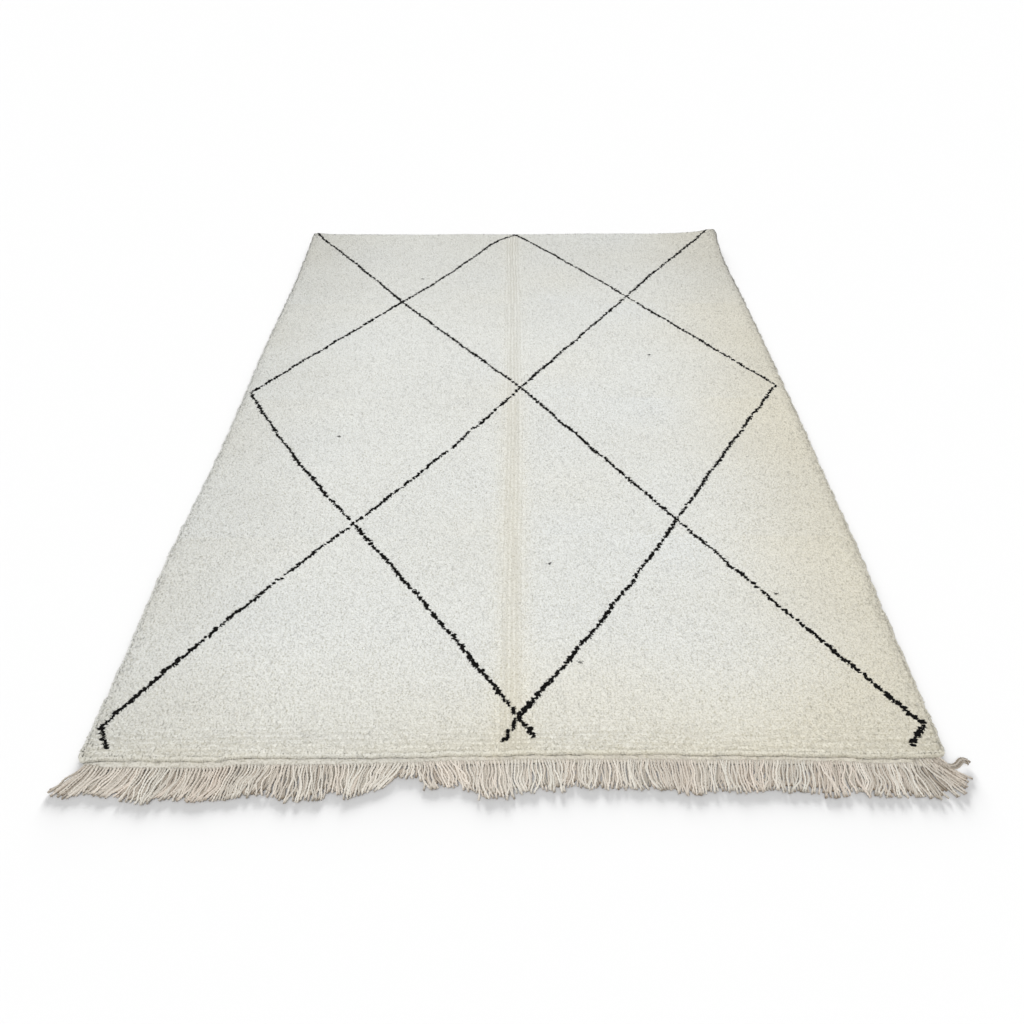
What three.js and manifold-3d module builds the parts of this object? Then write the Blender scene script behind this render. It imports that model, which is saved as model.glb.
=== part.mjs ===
// A Beni Ourain rug of undyed wool, two metres by three, lying flat on the floor.
// It is a field of short dense pile with one flat-woven end, whose warps run out as a fringe of plied strings.
// Lengths are in millimetres. X runs across the rug, Y along it with the fringe towards -Y, and Z is up.
import * as THREE from 'three';
import { mergeVertices } from 'three/addons/utils/BufferGeometryUtils.js';
import Module from 'manifold-3d';

const wasm = await Module();
wasm.setup();

// Pile field
const FIELD_WIDTH = 2030;
const FIELD_LENGTH = 3000;
const PILE_TOP = 16;
const LUMP_HEIGHT = 0.9;
const CREASE_DEPTH = 1.2;
const CELLS_ACROSS = 26;
const CELLS_ALONG = 38;
const LOCKS_PER_CELL = 3;
const LOCK_REACH = 6;
const CORNER_CUT = 9;

// Rim of the field, from the flat top down to the floor: how far out each ring lies and how high
const FOUNDATION_INSET = 6;
const TOP_RING = { out: -16, z: PILE_TOP };
const SHOULDER_RING = { out: -5, z: 13.8, locks: 0.6 };
const LOCK_RING = { out: -1, z: 9.5, locks: 1 };
const FOUNDATION_RING = { out: -FOUNDATION_INSET, z: 5.8, locks: 0 };
const FLOOR_RING = { out: -FOUNDATION_INSET, z: 0, locks: 0 };

// Flat-woven end
const WOVEN_REACH = 21;
const WOVEN_THICKNESS = 5;
const PIECE_GAP = 0.3;

// Fringe
const STRING_COUNT = 188;
const STRING_WIDTH = 5.6;
const STRING_HEIGHT = 5;
const STRING_CROWN = 0.62;
const STRING_TIP = 0.66;
const STRING_STEPS = 3;
const ROOT_DEPTH = 6;
const ROOT_SIZE = 0.5;
const END_MARGIN = 4;
const TIP_SPACING = 8.2;

const WOOL_CREAM = { color: 0xdfdfd8, roughness: 0.95, metalness: 0 };
const WARP_WOOL = { color: 0xc9c1b3, roughness: 0.9, metalness: 0 };

// How far each edge of the field bows out of its straight line, at places along that edge
const LEFT_EDGE = [
  { at: 0, out: 2 },
  { at: 600, out: 4 },
  { at: 1300, out: -13 },
  { at: 1800, out: -7 },
  { at: 2500, out: -10 },
  { at: 3000, out: 3 },
];
const RIGHT_EDGE = [
  { at: 0, out: -2 },
  { at: 400, out: 1 },
  { at: 750, out: 9 },
  { at: 1500, out: 8 },
  { at: 2200, out: 1 },
  { at: 2700, out: -6 },
  { at: 3000, out: 2 },
];
const NEAR_EDGE = [
  { at: -1015, out: 7 },
  { at: -700, out: 8 },
  { at: -590, out: -5 },
  { at: 0, out: 0 },
  { at: 330, out: -11 },
  { at: 850, out: 1 },
  { at: 1015, out: -3 },
];

// The far corners curl up off the floor: a long soft lift with a short steeper one at the tip
const CORNER_LIFTS = [
  { side: -1, height: 8, radius: 150 },
  { side: -1, height: 14, radius: 90 },
  { side: 1, height: 14, radius: 340 },
  { side: 1, height: 20, radius: 120 },
];

// The fringe lies in sheaves. Each runs from one root place to another, and its first and last strings
// sweep sideways and reach forwards by so much. Strings between them fall in between.
const SHEAVES = [
  { from: -996, to: -965, sweepFrom: -64, sweepTo: -40, reachFrom: 62, reachTo: 82 },
  { from: -965, to: -905, sweepFrom: -30, sweepTo: -14, reachFrom: 74, reachTo: 70 },
  { from: -905, to: -830, sweepFrom: -12, sweepTo: -4, reachFrom: 72, reachTo: 84 },
  { from: -830, to: -740, sweepFrom: -16, sweepTo: -26, reachFrom: 76, reachTo: 78 },
  { from: -740, to: -640, sweepFrom: -18, sweepTo: -12, reachFrom: 74, reachTo: 78 },
  { from: -640, to: -535, sweepFrom: -16, sweepTo: -28, reachFrom: 76, reachTo: 68 },
  { from: -535, to: -435, sweepFrom: 8, sweepTo: -6, reachFrom: 86, reachTo: 82 },
  { from: -435, to: -365, sweepFrom: 18, sweepTo: -6, reachFrom: 68, reachTo: 74 },
  { from: -365, to: -262, sweepFrom: -12, sweepTo: -38, reachFrom: 74, reachTo: 40 },
  { from: -262, to: -224, sweepFrom: -14, sweepTo: 8, reachFrom: 26, reachTo: 32 },
  { from: -224, to: -135, sweepFrom: 12, sweepTo: 26, reachFrom: 56, reachTo: 54 },
  { from: -135, to: -80, sweepFrom: 26, sweepTo: 6, reachFrom: 64, reachTo: 72 },
  { from: -80, to: -15, sweepFrom: 6, sweepTo: 0, reachFrom: 84, reachTo: 80 },
  { from: -15, to: 45, sweepFrom: 0, sweepTo: 0, reachFrom: 68, reachTo: 70 },
  { from: 45, to: 102, sweepFrom: 8, sweepTo: -4, reachFrom: 70, reachTo: 72 },
  { from: 102, to: 182, sweepFrom: 3, sweepTo: -7, reachFrom: 45, reachTo: 47 },
  { from: 182, to: 363, sweepFrom: -4, sweepTo: 4, reachFrom: 54, reachTo: 52 },
  { from: 363, to: 432, sweepFrom: 6, sweepTo: -12, reachFrom: 70, reachTo: 68 },
  { from: 432, to: 490, sweepFrom: -14, sweepTo: -16, reachFrom: 62, reachTo: 60 },
  { from: 490, to: 550, sweepFrom: -10, sweepTo: -18, reachFrom: 68, reachTo: 62 },
  { from: 550, to: 715, sweepFrom: -20, sweepTo: -16, reachFrom: 58, reachTo: 62 },
  { from: 715, to: 765, sweepFrom: -10, sweepTo: -18, reachFrom: 84, reachTo: 80 },
  { from: 765, to: 800, sweepFrom: 8, sweepTo: 14, reachFrom: 72, reachTo: 68 },
  { from: 800, to: 875, sweepFrom: -4, sweepTo: -10, reachFrom: 76, reachTo: 78 },
  { from: 875, to: 925, sweepFrom: 0, sweepTo: 34, reachFrom: 78, reachTo: 80 },
  { from: 925, to: 1000, sweepFrom: 60, sweepTo: 54, reachFrom: 78, reachTo: 40 },
];

// Reads a column of a table at a place between its rows, easing from row to row.
function readTable(rows, column, at) {
  const last = rows.length - 1;
  if (at <= rows[0].at) return rows[0][column];
  if (at >= rows[last].at) return rows[last][column];
  const next = rows.findIndex((row) => row.at > at);
  const [a, b] = [rows[next - 1], rows[next]];
  const t = THREE.MathUtils.smoothstep(at, a.at, b.at);
  return THREE.MathUtils.lerp(a[column], b[column], t);
}

// An even spread of numbers between -1 and 1 that looks random: the same one for the same whole number.
function scatter(index, salt) {
  const wave = Math.sin(index * 12.9898 + salt * 78.233) * 43758.5453;
  return 2 * (wave - Math.floor(wave)) - 1;
}

// Soft lumps of the pile, as three crossed waves of different lengths.
function lump(x, y) {
  const waves = Math.sin(x / 97 + y / 171) + Math.sin(y / 83 - x / 140) + Math.sin((x + y) / 61);
  return (LUMP_HEIGHT * waves) / 3;
}

function cornerLift(x, y) {
  let lift = 0;
  for (const { side, height, radius } of CORNER_LIFTS) {
    const away = Math.hypot(x - (side * FIELD_WIDTH) / 2, y - FIELD_LENGTH);
    lift += height * Math.max(0, 1 - away / radius) ** 2;
  }
  return lift;
}

// A place on the field in plan: p runs 0 to 1 across it and q 0 to 1 along it, within its four bowed edges.
function fieldPlan(p, q) {
  const x0 = (p - 0.5) * FIELD_WIDTH;
  const y0 = q * FIELD_LENGTH;
  const x = x0 - (1 - p) * readTable(LEFT_EDGE, 'out', y0) + p * readTable(RIGHT_EDGE, 'out', y0);
  const y = y0 - (1 - q) * readTable(NEAR_EDGE, 'out', x0);
  return new THREE.Vector2(x, y);
}

// A vertex of the field. An edge vertex moves out across its edge, and a corner vertex is cut back as well.
function fieldVertex(p, q, out, z) {
  const plan = fieldPlan(p, q);
  const onSide = p === 0 || p === 1;
  const onEnd = q === 0 || q === 1;
  const move = onSide && onEnd ? out - CORNER_CUT : out;
  if (onSide) plan.x += Math.sign(p - 0.5) * move;
  if (onEnd) plan.y += Math.sign(q - 0.5) * move;
  return new THREE.Vector3(plan.x, plan.y, z + cornerLift(plan.x, plan.y));
}

// The grid's border cells, walked anticlockwise from the near left corner, as whole-number places.
function borderWalk() {
  const walk = [];
  for (let i = 0; i < CELLS_ACROSS; i++) walk.push([i, 0]);
  for (let j = 0; j < CELLS_ALONG; j++) walk.push([CELLS_ACROSS, j]);
  for (let i = CELLS_ACROSS; i > 0; i--) walk.push([i, CELLS_ALONG]);
  for (let j = CELLS_ALONG; j > 0; j--) walk.push([0, j]);
  return walk;
}

// Makes a closed mesh from vertices and triangles.
function meshGeometry(vertices, triangles) {
  const geometry = new THREE.BufferGeometry().setFromPoints(vertices);
  geometry.setIndex(triangles);
  return geometry;
}

// The pile field: a lumpy top and a flat underside, joined by rings of locks that stand out past the foundation.
function pileField() {
  const vertices = [];
  const triangles = [];
  const quad = (a, b, c, d) => triangles.push(a, b, c, a, c, d);

  const sheet = (faceUp) => {
    const grid = [];
    for (let j = 0; j <= CELLS_ALONG; j++) {
      for (let i = 0; i <= CELLS_ACROSS; i++) {
        const [p, q] = [i / CELLS_ACROSS, j / CELLS_ALONG];
        const v = fieldVertex(p, q, TOP_RING.out, 0);
        const crease = 2 * i === CELLS_ACROSS ? CREASE_DEPTH : 0;
        if (faceUp) v.z += TOP_RING.z + lump(v.x, v.y) - crease;
        grid.push(vertices.push(v) - 1);
      }
    }
    const at = (i, j) => grid[j * (CELLS_ACROSS + 1) + i];
    for (let j = 0; j < CELLS_ALONG; j++) {
      for (let i = 0; i < CELLS_ACROSS; i++) {
        const corners = [at(i, j), at(i + 1, j), at(i + 1, j + 1), at(i, j + 1)];
        if (!faceUp) corners.reverse();
        quad(...corners);
      }
    }
    return borderWalk().map(([i, j]) => at(i, j));
  };

  const lockRing = ({ out, z, locks }) => {
    const walk = borderWalk();
    const ring = [];
    walk.forEach(([i, j], w) => {
      const [iNext, jNext] = walk[(w + 1) % walk.length];
      for (let s = 0; s < LOCKS_PER_CELL; s++) {
        const p = THREE.MathUtils.lerp(i, iNext, s / LOCKS_PER_CELL) / CELLS_ACROSS;
        const q = THREE.MathUtils.lerp(j, jNext, s / LOCKS_PER_CELL) / CELLS_ALONG;
        const k = w * LOCKS_PER_CELL + s;
        const standing = (k % 2) * LOCK_REACH * (0.7 + 0.3 * scatter(k, 1));
        ring.push(vertices.push(fieldVertex(p, q, out + locks * standing, z)) - 1);
      }
    });
    return ring;
  };

  const ringBand = (upper, lower) => {
    upper.forEach((v, k) => {
      const next = (k + 1) % upper.length;
      quad(v, lower[k], lower[next], upper[next]);
    });
  };

  // Fans each vertex of a coarse ring to the finer ring's vertices that belong to it.
  const stitch = (coarse, fine, fineOutside) => {
    const turned = (a, b, c) => (fineOutside ? triangles.push(a, b, c) : triangles.push(a, c, b));
    const half = Math.floor(LOCKS_PER_CELL / 2) + 1;
    coarse.forEach((v, w) => {
      const next = coarse[(w + 1) % coarse.length];
      for (let s = 0; s < LOCKS_PER_CELL; s++) {
        const k = w * LOCKS_PER_CELL + s;
        turned(s < half ? v : next, fine[k], fine[(k + 1) % fine.length]);
      }
      turned(v, fine[(w * LOCKS_PER_CELL + half) % fine.length], next);
    });
  };

  const top = sheet(true);
  const shoulder = lockRing(SHOULDER_RING);
  const locks = lockRing(LOCK_RING);
  const foundation = lockRing(FOUNDATION_RING);
  const floor = lockRing(FLOOR_RING);
  const underside = sheet(false);
  stitch(top, shoulder, true);
  ringBand(shoulder, locks);
  ringBand(locks, foundation);
  ringBand(foundation, floor);
  stitch(underside, floor, false);
  return meshGeometry(vertices, triangles);
}

// Joins rings of equal length into a closed solid with flat ends. Each ring turns anticlockwise as seen
// from the ring before it.
function loft(rings) {
  const size = rings[0].length;
  const triangles = [];
  for (let r = 0; r + 1 < rings.length; r++) {
    for (let k = 0; k < size; k++) {
      const [a, b] = [r * size + k, r * size + ((k + 1) % size)];
      triangles.push(a, b, b + size, a, b + size, a + size);
    }
  }
  const end = (rings.length - 1) * size;
  for (let k = 1; k + 1 < size; k++) {
    triangles.push(0, k + 1, k);
    triangles.push(end, end + k, end + k + 1);
  }
  return meshGeometry(rings.flat(), triangles);
}

// The woven end's section at one place across the rug, from its floor edge under the pile round to its front.
function wovenSection(p) {
  const { x, y } = fieldPlan(p, 0);
  const back = y + FOUNDATION_INSET - PIECE_GAP;
  const front = y - WOVEN_REACH;
  const outline = [
    [back, 0],
    [back, WOVEN_THICKNESS],
    [front, WOVEN_THICKNESS],
    [front, 0],
  ];
  return outline.map(([sectionY, z]) => new THREE.Vector3(x, sectionY, z));
}

function wovenEnd() {
  const rings = [];
  const stations = CELLS_ACROSS * LOCKS_PER_CELL;
  for (let k = 1; k < stations; k++) rings.push(wovenSection(k / stations));
  return loft(rings);
}

// Where each string of the fringe leaves the woven end and where its tip lies, tips kept apart in their order.
function fringeLayout() {
  const first = fieldPlan(1 / (CELLS_ACROSS * LOCKS_PER_CELL), 0).x + END_MARGIN;
  const last = fieldPlan(1 - 1 / (CELLS_ACROSS * LOCKS_PER_CELL), 0).x - END_MARGIN;
  const strings = [];
  for (let n = 0; n < STRING_COUNT; n++) {
    const x = THREE.MathUtils.lerp(first, last, n / (STRING_COUNT - 1));
    const sheaf = SHEAVES.find((row) => x <= row.to);
    const t = (x - sheaf.from) / (sheaf.to - sheaf.from);
    const sweep = THREE.MathUtils.lerp(sheaf.sweepFrom, sheaf.sweepTo, t);
    const reach = THREE.MathUtils.lerp(sheaf.reachFrom, sheaf.reachTo, t) + 3.5 * scatter(n, 2);
    strings.push({ x, tipX: x + sweep, reach });
  }
  const middle = Math.floor(STRING_COUNT / 2);
  for (let n = middle; n + 1 < STRING_COUNT; n++) {
    strings[n + 1].tipX = Math.max(strings[n + 1].tipX, strings[n].tipX + TIP_SPACING);
  }
  for (let n = middle; n > 0; n--) {
    strings[n - 1].tipX = Math.min(strings[n - 1].tipX, strings[n].tipX - TIP_SPACING);
  }
  return strings;
}

// One string: a four-sided section, flat underneath, carried along a bend from inside the woven end to its tip.
function fringeString({ x, tipX, reach }) {
  const front = fieldPlan(x / FIELD_WIDTH + 0.5, 0).y - WOVEN_REACH;
  const exit = new THREE.Vector2(x, front);
  const bend = new THREE.Vector2(THREE.MathUtils.lerp(x, tipX, 0.3), front - 0.45 * reach);
  const tip = new THREE.Vector2(tipX, front - reach);
  const path = new THREE.QuadraticBezierCurve(exit, bend, tip);

  const section = (centre, along, size, z) => {
    const side = new THREE.Vector2(-along.y, along.x).multiplyScalar((size * STRING_WIDTH) / 2);
    const corner = (reachOut, height) => {
      const across = centre.clone().addScaledVector(side, reachOut);
      return new THREE.Vector3(across.x, across.y, z + size * height);
    };
    return [
      corner(-1, 0),
      corner(1, 0),
      corner(STRING_CROWN, STRING_HEIGHT),
      corner(-STRING_CROWN, STRING_HEIGHT),
    ];
  };

  const start = path.getTangent(0);
  const rootCentre = exit.clone().addScaledVector(start, -ROOT_DEPTH);
  const rootLift = (WOVEN_THICKNESS - ROOT_SIZE * STRING_HEIGHT) / 2;
  const rings = [section(rootCentre, start, ROOT_SIZE, rootLift)];
  for (let s = 0; s <= STRING_STEPS; s++) {
    const t = THREE.MathUtils.lerp(0.1, 1, s / STRING_STEPS);
    const size = s === STRING_STEPS ? STRING_TIP : 1;
    rings.push(section(path.getPoint(t), path.getTangent(t), size, 0));
  }
  return loft(rings);
}

function toSolid(geometry) {
  const merged = mergeVertices(geometry);
  const vertProperties = new Float32Array(merged.attributes.position.array);
  const triVerts = new Uint32Array(merged.index.array);
  return new wasm.Manifold(new wasm.Mesh({ numProp: 3, vertProperties, triVerts }));
}

function toGeometry(solid) {
  const { vertProperties, triVerts } = solid.getMesh();
  const geometry = new THREE.BufferGeometry();
  geometry.setAttribute('position', new THREE.BufferAttribute(vertProperties, 3));
  geometry.setIndex(new THREE.BufferAttribute(triVerts, 1));
  return geometry;
}

// The woven end with every string fused to it by its root.
function wovenEndWithFringe() {
  const strings = fringeLayout().map((string) => toSolid(fringeString(string)));
  return toGeometry(wasm.Manifold.union([toSolid(wovenEnd()), ...strings]));
}

function namedMesh(name, geometry, finish) {
  const mesh = new THREE.Mesh(geometry, new THREE.MeshStandardMaterial(finish));
  mesh.name = name;
  return mesh;
}

// The rug stands with the middle of its footprint on the origin.
const rug = new THREE.Group();
rug.add(namedMesh('pile_field', pileField(), WOOL_CREAM));
rug.add(namedMesh('woven_end_fringe', wovenEndWithFringe(), WARP_WOOL));
const footprint = new THREE.Box3().setFromObject(rug).getCenter(new THREE.Vector3());
rug.position.set(-footprint.x, -footprint.y, 0);

const part = new THREE.Group();
part.add(rug);

export default part;
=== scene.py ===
"""A Beni Ourain rug of undyed wool, lying flat with its fringed end towards the viewer.

The rug is a field of short dense pile with a dark diamond lattice knotted into it. Past the last row of
knots the wefts run on as a narrow flat-woven end, and the warps leave that end as a fringe of plied
strings. Lengths are in metres. Places across (x) and along (y) the rug are in the frame.
"""
import logging
import math
from dataclasses import dataclass, field, replace
from enum import Enum
from typing import Sequence

import bpy
import numpy as np
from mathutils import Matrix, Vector


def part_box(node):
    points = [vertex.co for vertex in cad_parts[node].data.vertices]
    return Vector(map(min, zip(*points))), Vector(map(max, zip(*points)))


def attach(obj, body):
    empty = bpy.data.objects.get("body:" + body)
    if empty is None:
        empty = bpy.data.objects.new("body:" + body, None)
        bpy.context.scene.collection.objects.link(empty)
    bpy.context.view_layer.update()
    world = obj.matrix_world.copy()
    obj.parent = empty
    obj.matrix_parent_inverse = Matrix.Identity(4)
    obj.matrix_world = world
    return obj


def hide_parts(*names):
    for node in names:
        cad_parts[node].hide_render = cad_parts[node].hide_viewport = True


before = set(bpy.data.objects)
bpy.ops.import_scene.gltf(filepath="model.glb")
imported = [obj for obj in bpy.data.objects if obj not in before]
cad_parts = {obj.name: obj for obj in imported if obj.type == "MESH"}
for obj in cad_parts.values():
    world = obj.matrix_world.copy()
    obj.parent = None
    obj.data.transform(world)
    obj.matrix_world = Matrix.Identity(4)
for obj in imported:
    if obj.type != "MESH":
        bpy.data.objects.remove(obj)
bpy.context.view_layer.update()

log = logging.getLogger("rug")

MM = 0.001
BODY = "root"
FIELD_NODE = "pile_field"
FRINGE_NODE = "woven_end_fringe"
BAKE_MAP = "OFBake"
BAKE_MARGIN = 0.005

Grid = np.ndarray


class Slot(Enum):
    """The material slots that the rug's record names."""

    CREAM = "cream_wool_pile"
    BLACK = "black_wool_pile"
    WARP = "warp_wool"


class Edge(Enum):
    """The four edges of the pile field, the near one being the fringed end."""

    LEFT = "left"
    RIGHT = "right"
    NEAR = "near"
    FAR = "far"


class Layer(Enum):
    """The layers that the fringe's strings lie in, from the floor up."""

    BED = "bed"
    MIDDLE = "middle"
    UPPER = "upper"


# --------------------------------------------------------------------------------------------------------
# Whole-array helpers
# --------------------------------------------------------------------------------------------------------


def ease(t: Grid) -> Grid:
    """Eases a share from 0 to 1 with a level start and end: three squares less two cubes of it."""
    t = np.clip(t, 0.0, 1.0)
    return t * t * (3.0 - 2.0 * t)


def read_table(rows: Sequence[tuple[float, float]], at: Grid) -> Grid:
    """Reads a table of (place, value) rows, easing from each row to the next.

    Args:
        rows: the rows, by rising place.
        at: the places to read.

    Returns:
        The value at each place, level past the first and last rows.
    """
    places, values = np.array(rows).T
    at = np.clip(at, places[0], places[-1])
    k = np.clip(np.searchsorted(places, at, side="right") - 1, 0, len(places) - 2)
    t = ease((at - places[k]) / (places[k + 1] - places[k]))
    return values[k] + (values[k + 1] - values[k]) * t


def soft_noise(x: Grid, y: Grid, cell: tuple[float, float], seed: int) -> Grid:
    """Value noise from -1 to 1: seeded random numbers on a grid, eased between the four round a place.

    Args:
        x: places across.
        y: places along, of the same shape.
        cell: the cell's width and length.
        seed: picks the random numbers.

    Returns:
        The noise at each place.
    """
    u, v = (x - np.min(x)) / cell[0], (y - np.min(y)) / cell[1]
    i, j = np.floor(u).astype(int), np.floor(v).astype(int)
    knots = np.random.default_rng(seed).uniform(-1.0, 1.0, (i.max() + 2, j.max() + 2))
    s, t = ease(u - i), ease(v - j)
    low = knots[i, j] * (1 - s) + knots[i + 1, j] * s
    high = knots[i, j + 1] * (1 - s) + knots[i + 1, j + 1] * s
    return low * (1 - t) + high * t


@dataclass(frozen=True)
class Fade:
    """A share that grows from 0 to its amount over a run of places, eased in and out.

    Attributes:
        start: the place where it starts to grow.
        run: how far on it is full grown.
        amount: what it grows to.
    """

    start: float
    run: float
    amount: float = 1.0

    def at(self, place: Grid) -> Grid:
        """The share at each place."""
        return self.amount * ease((place - self.start) / self.run)


def unit(arrows: Grid) -> Grid:
    """Scales arrows, kept along the last axis, to a length of 1."""
    return arrows / np.linalg.norm(arrows, axis=-1, keepdims=True)


def fan(around: int) -> Grid:
    """Triangles that close a ring of vertices 0, 1, 2 and on, turning the same way as the ring."""
    k = np.arange(1, around - 1)
    return np.stack([np.zeros_like(k), k, k + 1], -1)


def tube_faces(rings: int, around: int) -> Grid:
    """Triangles of a closed tube made of rings of vertices, one after another.

    Args:
        rings: how many rings there are.
        around: how many vertices each ring has, anticlockwise seen against the way the rings go on.

    Returns:
        The triangles, facing out.
    """
    r, k = (a.ravel() for a in np.meshgrid(np.arange(rings - 1), np.arange(around), indexing="ij"))
    here, after = r * around + k, r * around + (k + 1) % around
    sides = [np.stack([here, after, after + around], -1), np.stack([here, after + around, here + around], -1)]
    ends = [fan(around)[:, ::-1], fan(around) + (rings - 1) * around]
    return np.concatenate([*sides, *ends])


# --------------------------------------------------------------------------------------------------------
# Wool, as meshes and as finishes
# --------------------------------------------------------------------------------------------------------


@dataclass
class Yarn:
    """A mesh of wool.

    Attributes:
        points: n by 3 vertex places.
        faces: m by 3 vertex numbers, anticlockwise as seen from outside.
        tint: n shades, from 0 for grimy or shaded wool to 1 for the lightest.
        warmth: n tones, from 0 for the coolest wool to 1 for the yellowest.
        normals: n by 3 directions that the surface is shaded along, or nothing for those of the faces.
    """

    points: Grid
    faces: Grid
    tint: Grid
    warmth: Grid
    normals: Grid | None = None

    @classmethod
    def joined(cls, parts: Sequence["Yarn"]) -> "Yarn":
        """Joins several meshes into one.

        Args:
            parts: the meshes.

        Returns:
            The joined mesh.
        """
        starts = np.cumsum([0] + [len(part.points) for part in parts[:-1]])
        return cls(
            np.concatenate([part.points for part in parts]),
            np.concatenate([part.faces + start for part, start in zip(parts, starts)]),
            np.concatenate([part.tint for part in parts]),
            np.concatenate([part.warmth for part in parts]),
            None if parts[0].normals is None else np.concatenate([part.normals for part in parts]),
        )

    def piece(self, name: str, finish: bpy.types.Material) -> bpy.types.Object:
        """Makes the mesh a smooth-shaded object with its finish and a map that looks straight down on it.

        Args:
            name: the piece's name.
            finish: its material, which reads the tint and the warmth.

        Returns:
            The object, at the origin.
        """
        mesh = bpy.data.meshes.new(name)
        corners = np.ascontiguousarray(self.faces, np.int32).ravel()
        mesh.vertices.add(len(self.points))
        mesh.vertices.foreach_set("co", np.ascontiguousarray(self.points, np.float32).ravel())
        mesh.loops.add(len(corners))
        mesh.loops.foreach_set("vertex_index", corners)
        mesh.polygons.add(len(self.faces))
        mesh.polygons.foreach_set("loop_start", np.arange(0, len(corners), 3, dtype=np.int32))
        mesh.polygons.foreach_set("use_smooth", np.ones(len(self.faces), bool))
        mesh.update(calc_edges=True)
        for label, values in (("tint", self.tint), ("warmth", self.warmth)):
            layer = mesh.attributes.new(label, "FLOAT", "POINT")
            layer.data.foreach_set("value", np.clip(values, 0, 1).astype(np.float32))
        plan = self.points[:, :2]
        low, high = plan.min(0), plan.max(0)
        uv = BAKE_MARGIN + (1 - 2 * BAKE_MARGIN) * (plan - low) / (high - low)
        layer = mesh.uv_layers.new(name=BAKE_MAP)
        layer.uv.foreach_set("vector", uv[corners].astype(np.float32).ravel())
        if self.normals is not None:
            mesh.normals_split_custom_set_from_vertices(self.normals)
        mesh.materials.append(finish)
        piece = bpy.data.objects.new(name, mesh)
        bpy.context.collection.objects.link(piece)
        return piece


@dataclass
class Buds:
    """Closed pointed buds of yarn, each a ring of points round its root and a tip point.

    Attributes:
        root: n by 3 places of the roots.
        tip: n by 3 places of the tips.
        side: directions across the buds, n by 3 or one for all.
        half: n by 2 half widths of the ring, the first along the side direction.
        turn: n angles of the ring's first vertex.
        tint: n tints.
        warmth: n warmths.
        sides: how many vertices the ring has.
        dome: how far the shading leans out round the ring, as a share of that along the bud.
    """

    root: Grid
    tip: Grid
    side: Grid
    half: Grid
    turn: Grid
    tint: Grid
    warmth: Grid
    sides: int = 3
    dome: float = 0.7

    def yarn(self) -> Yarn:
        """Lays out the buds' mesh, shaded as soft domes.

        A ring's vertex k lies off the root by the first half width times the cosine of an angle along the
        side direction, and by the second times its sine along the direction square to side and axis. The
        angle is the turn plus k sides' share of a circle. The shading leans out from the axis by the dome.

        Returns:
            The mesh.
        """
        count, sides = len(self.root), self.sides
        axis = unit(self.tip - self.root)
        side = np.broadcast_to(self.side, axis.shape)
        across = unit(side - axis * (side * axis).sum(-1, keepdims=True))
        square = np.cross(axis, across)
        angle = self.turn[:, None] + np.arange(sides) * (math.tau / sides)
        swing = (self.half[:, :1] * np.cos(angle))[..., None] * across[:, None]
        swing = swing + (self.half[:, 1:] * np.sin(angle))[..., None] * square[:, None]
        points = np.concatenate([self.root[:, None] + swing, self.tip[:, None]], 1)
        points[..., 2] = np.maximum(points[..., 2], 0.0)
        normals = np.concatenate([unit(unit(swing) * self.dome + axis[:, None]), axis[:, None]], 1)
        k = np.arange(sides)
        flanks = np.stack([k, (k + 1) % sides, np.full(sides, sides)], -1)
        pattern = np.concatenate([flanks, fan(sides)[:, ::-1]])
        faces = pattern[None] + (np.arange(count) * (sides + 1))[:, None, None]
        tint, warmth = np.repeat(self.tint, sides + 1), np.repeat(self.warmth, sides + 1)
        return Yarn(points.reshape(-1, 3), faces.reshape(-1, 3), tint, warmth, normals.reshape(-1, 3))


def srgb(code: str) -> tuple[float, float, float, float]:
    """Turns a hex colour into a linear one.

    Args:
        code: the colour, such as e4e2da.

    Returns:
        Linear red, green and blue, and an alpha of 1.
    """
    shares = (int(code[k : k + 2], 16) / 255 for k in (0, 2, 4))
    linear = [s / 12.92 if s <= 0.04045 else ((s + 0.055) / 1.055) ** 2.4 for s in shares]
    return (*linear, 1.0)


def add_node(
    tree: bpy.types.NodeTree,
    kind: str,
    settings: dict[str | int, object] | None = None,
    links: dict[str | int, bpy.types.NodeSocket] | None = None,
) -> bpy.types.Node:
    """Adds a shader node.

    Args:
        tree: the material's node tree.
        kind: the node's type name.
        settings: properties of the node by name, or values of its inputs by name or number.
        links: input name or number to the output socket that feeds it.

    Returns:
        The node.
    """
    node = tree.nodes.new(kind)
    for name, value in (settings or {}).items():
        if isinstance(name, str) and hasattr(node, name):
            setattr(node, name, value)
        else:
            node.inputs[name].default_value = value
    for name, source in (links or {}).items():
        tree.links.new(source, node.inputs[name])
    return node


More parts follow.
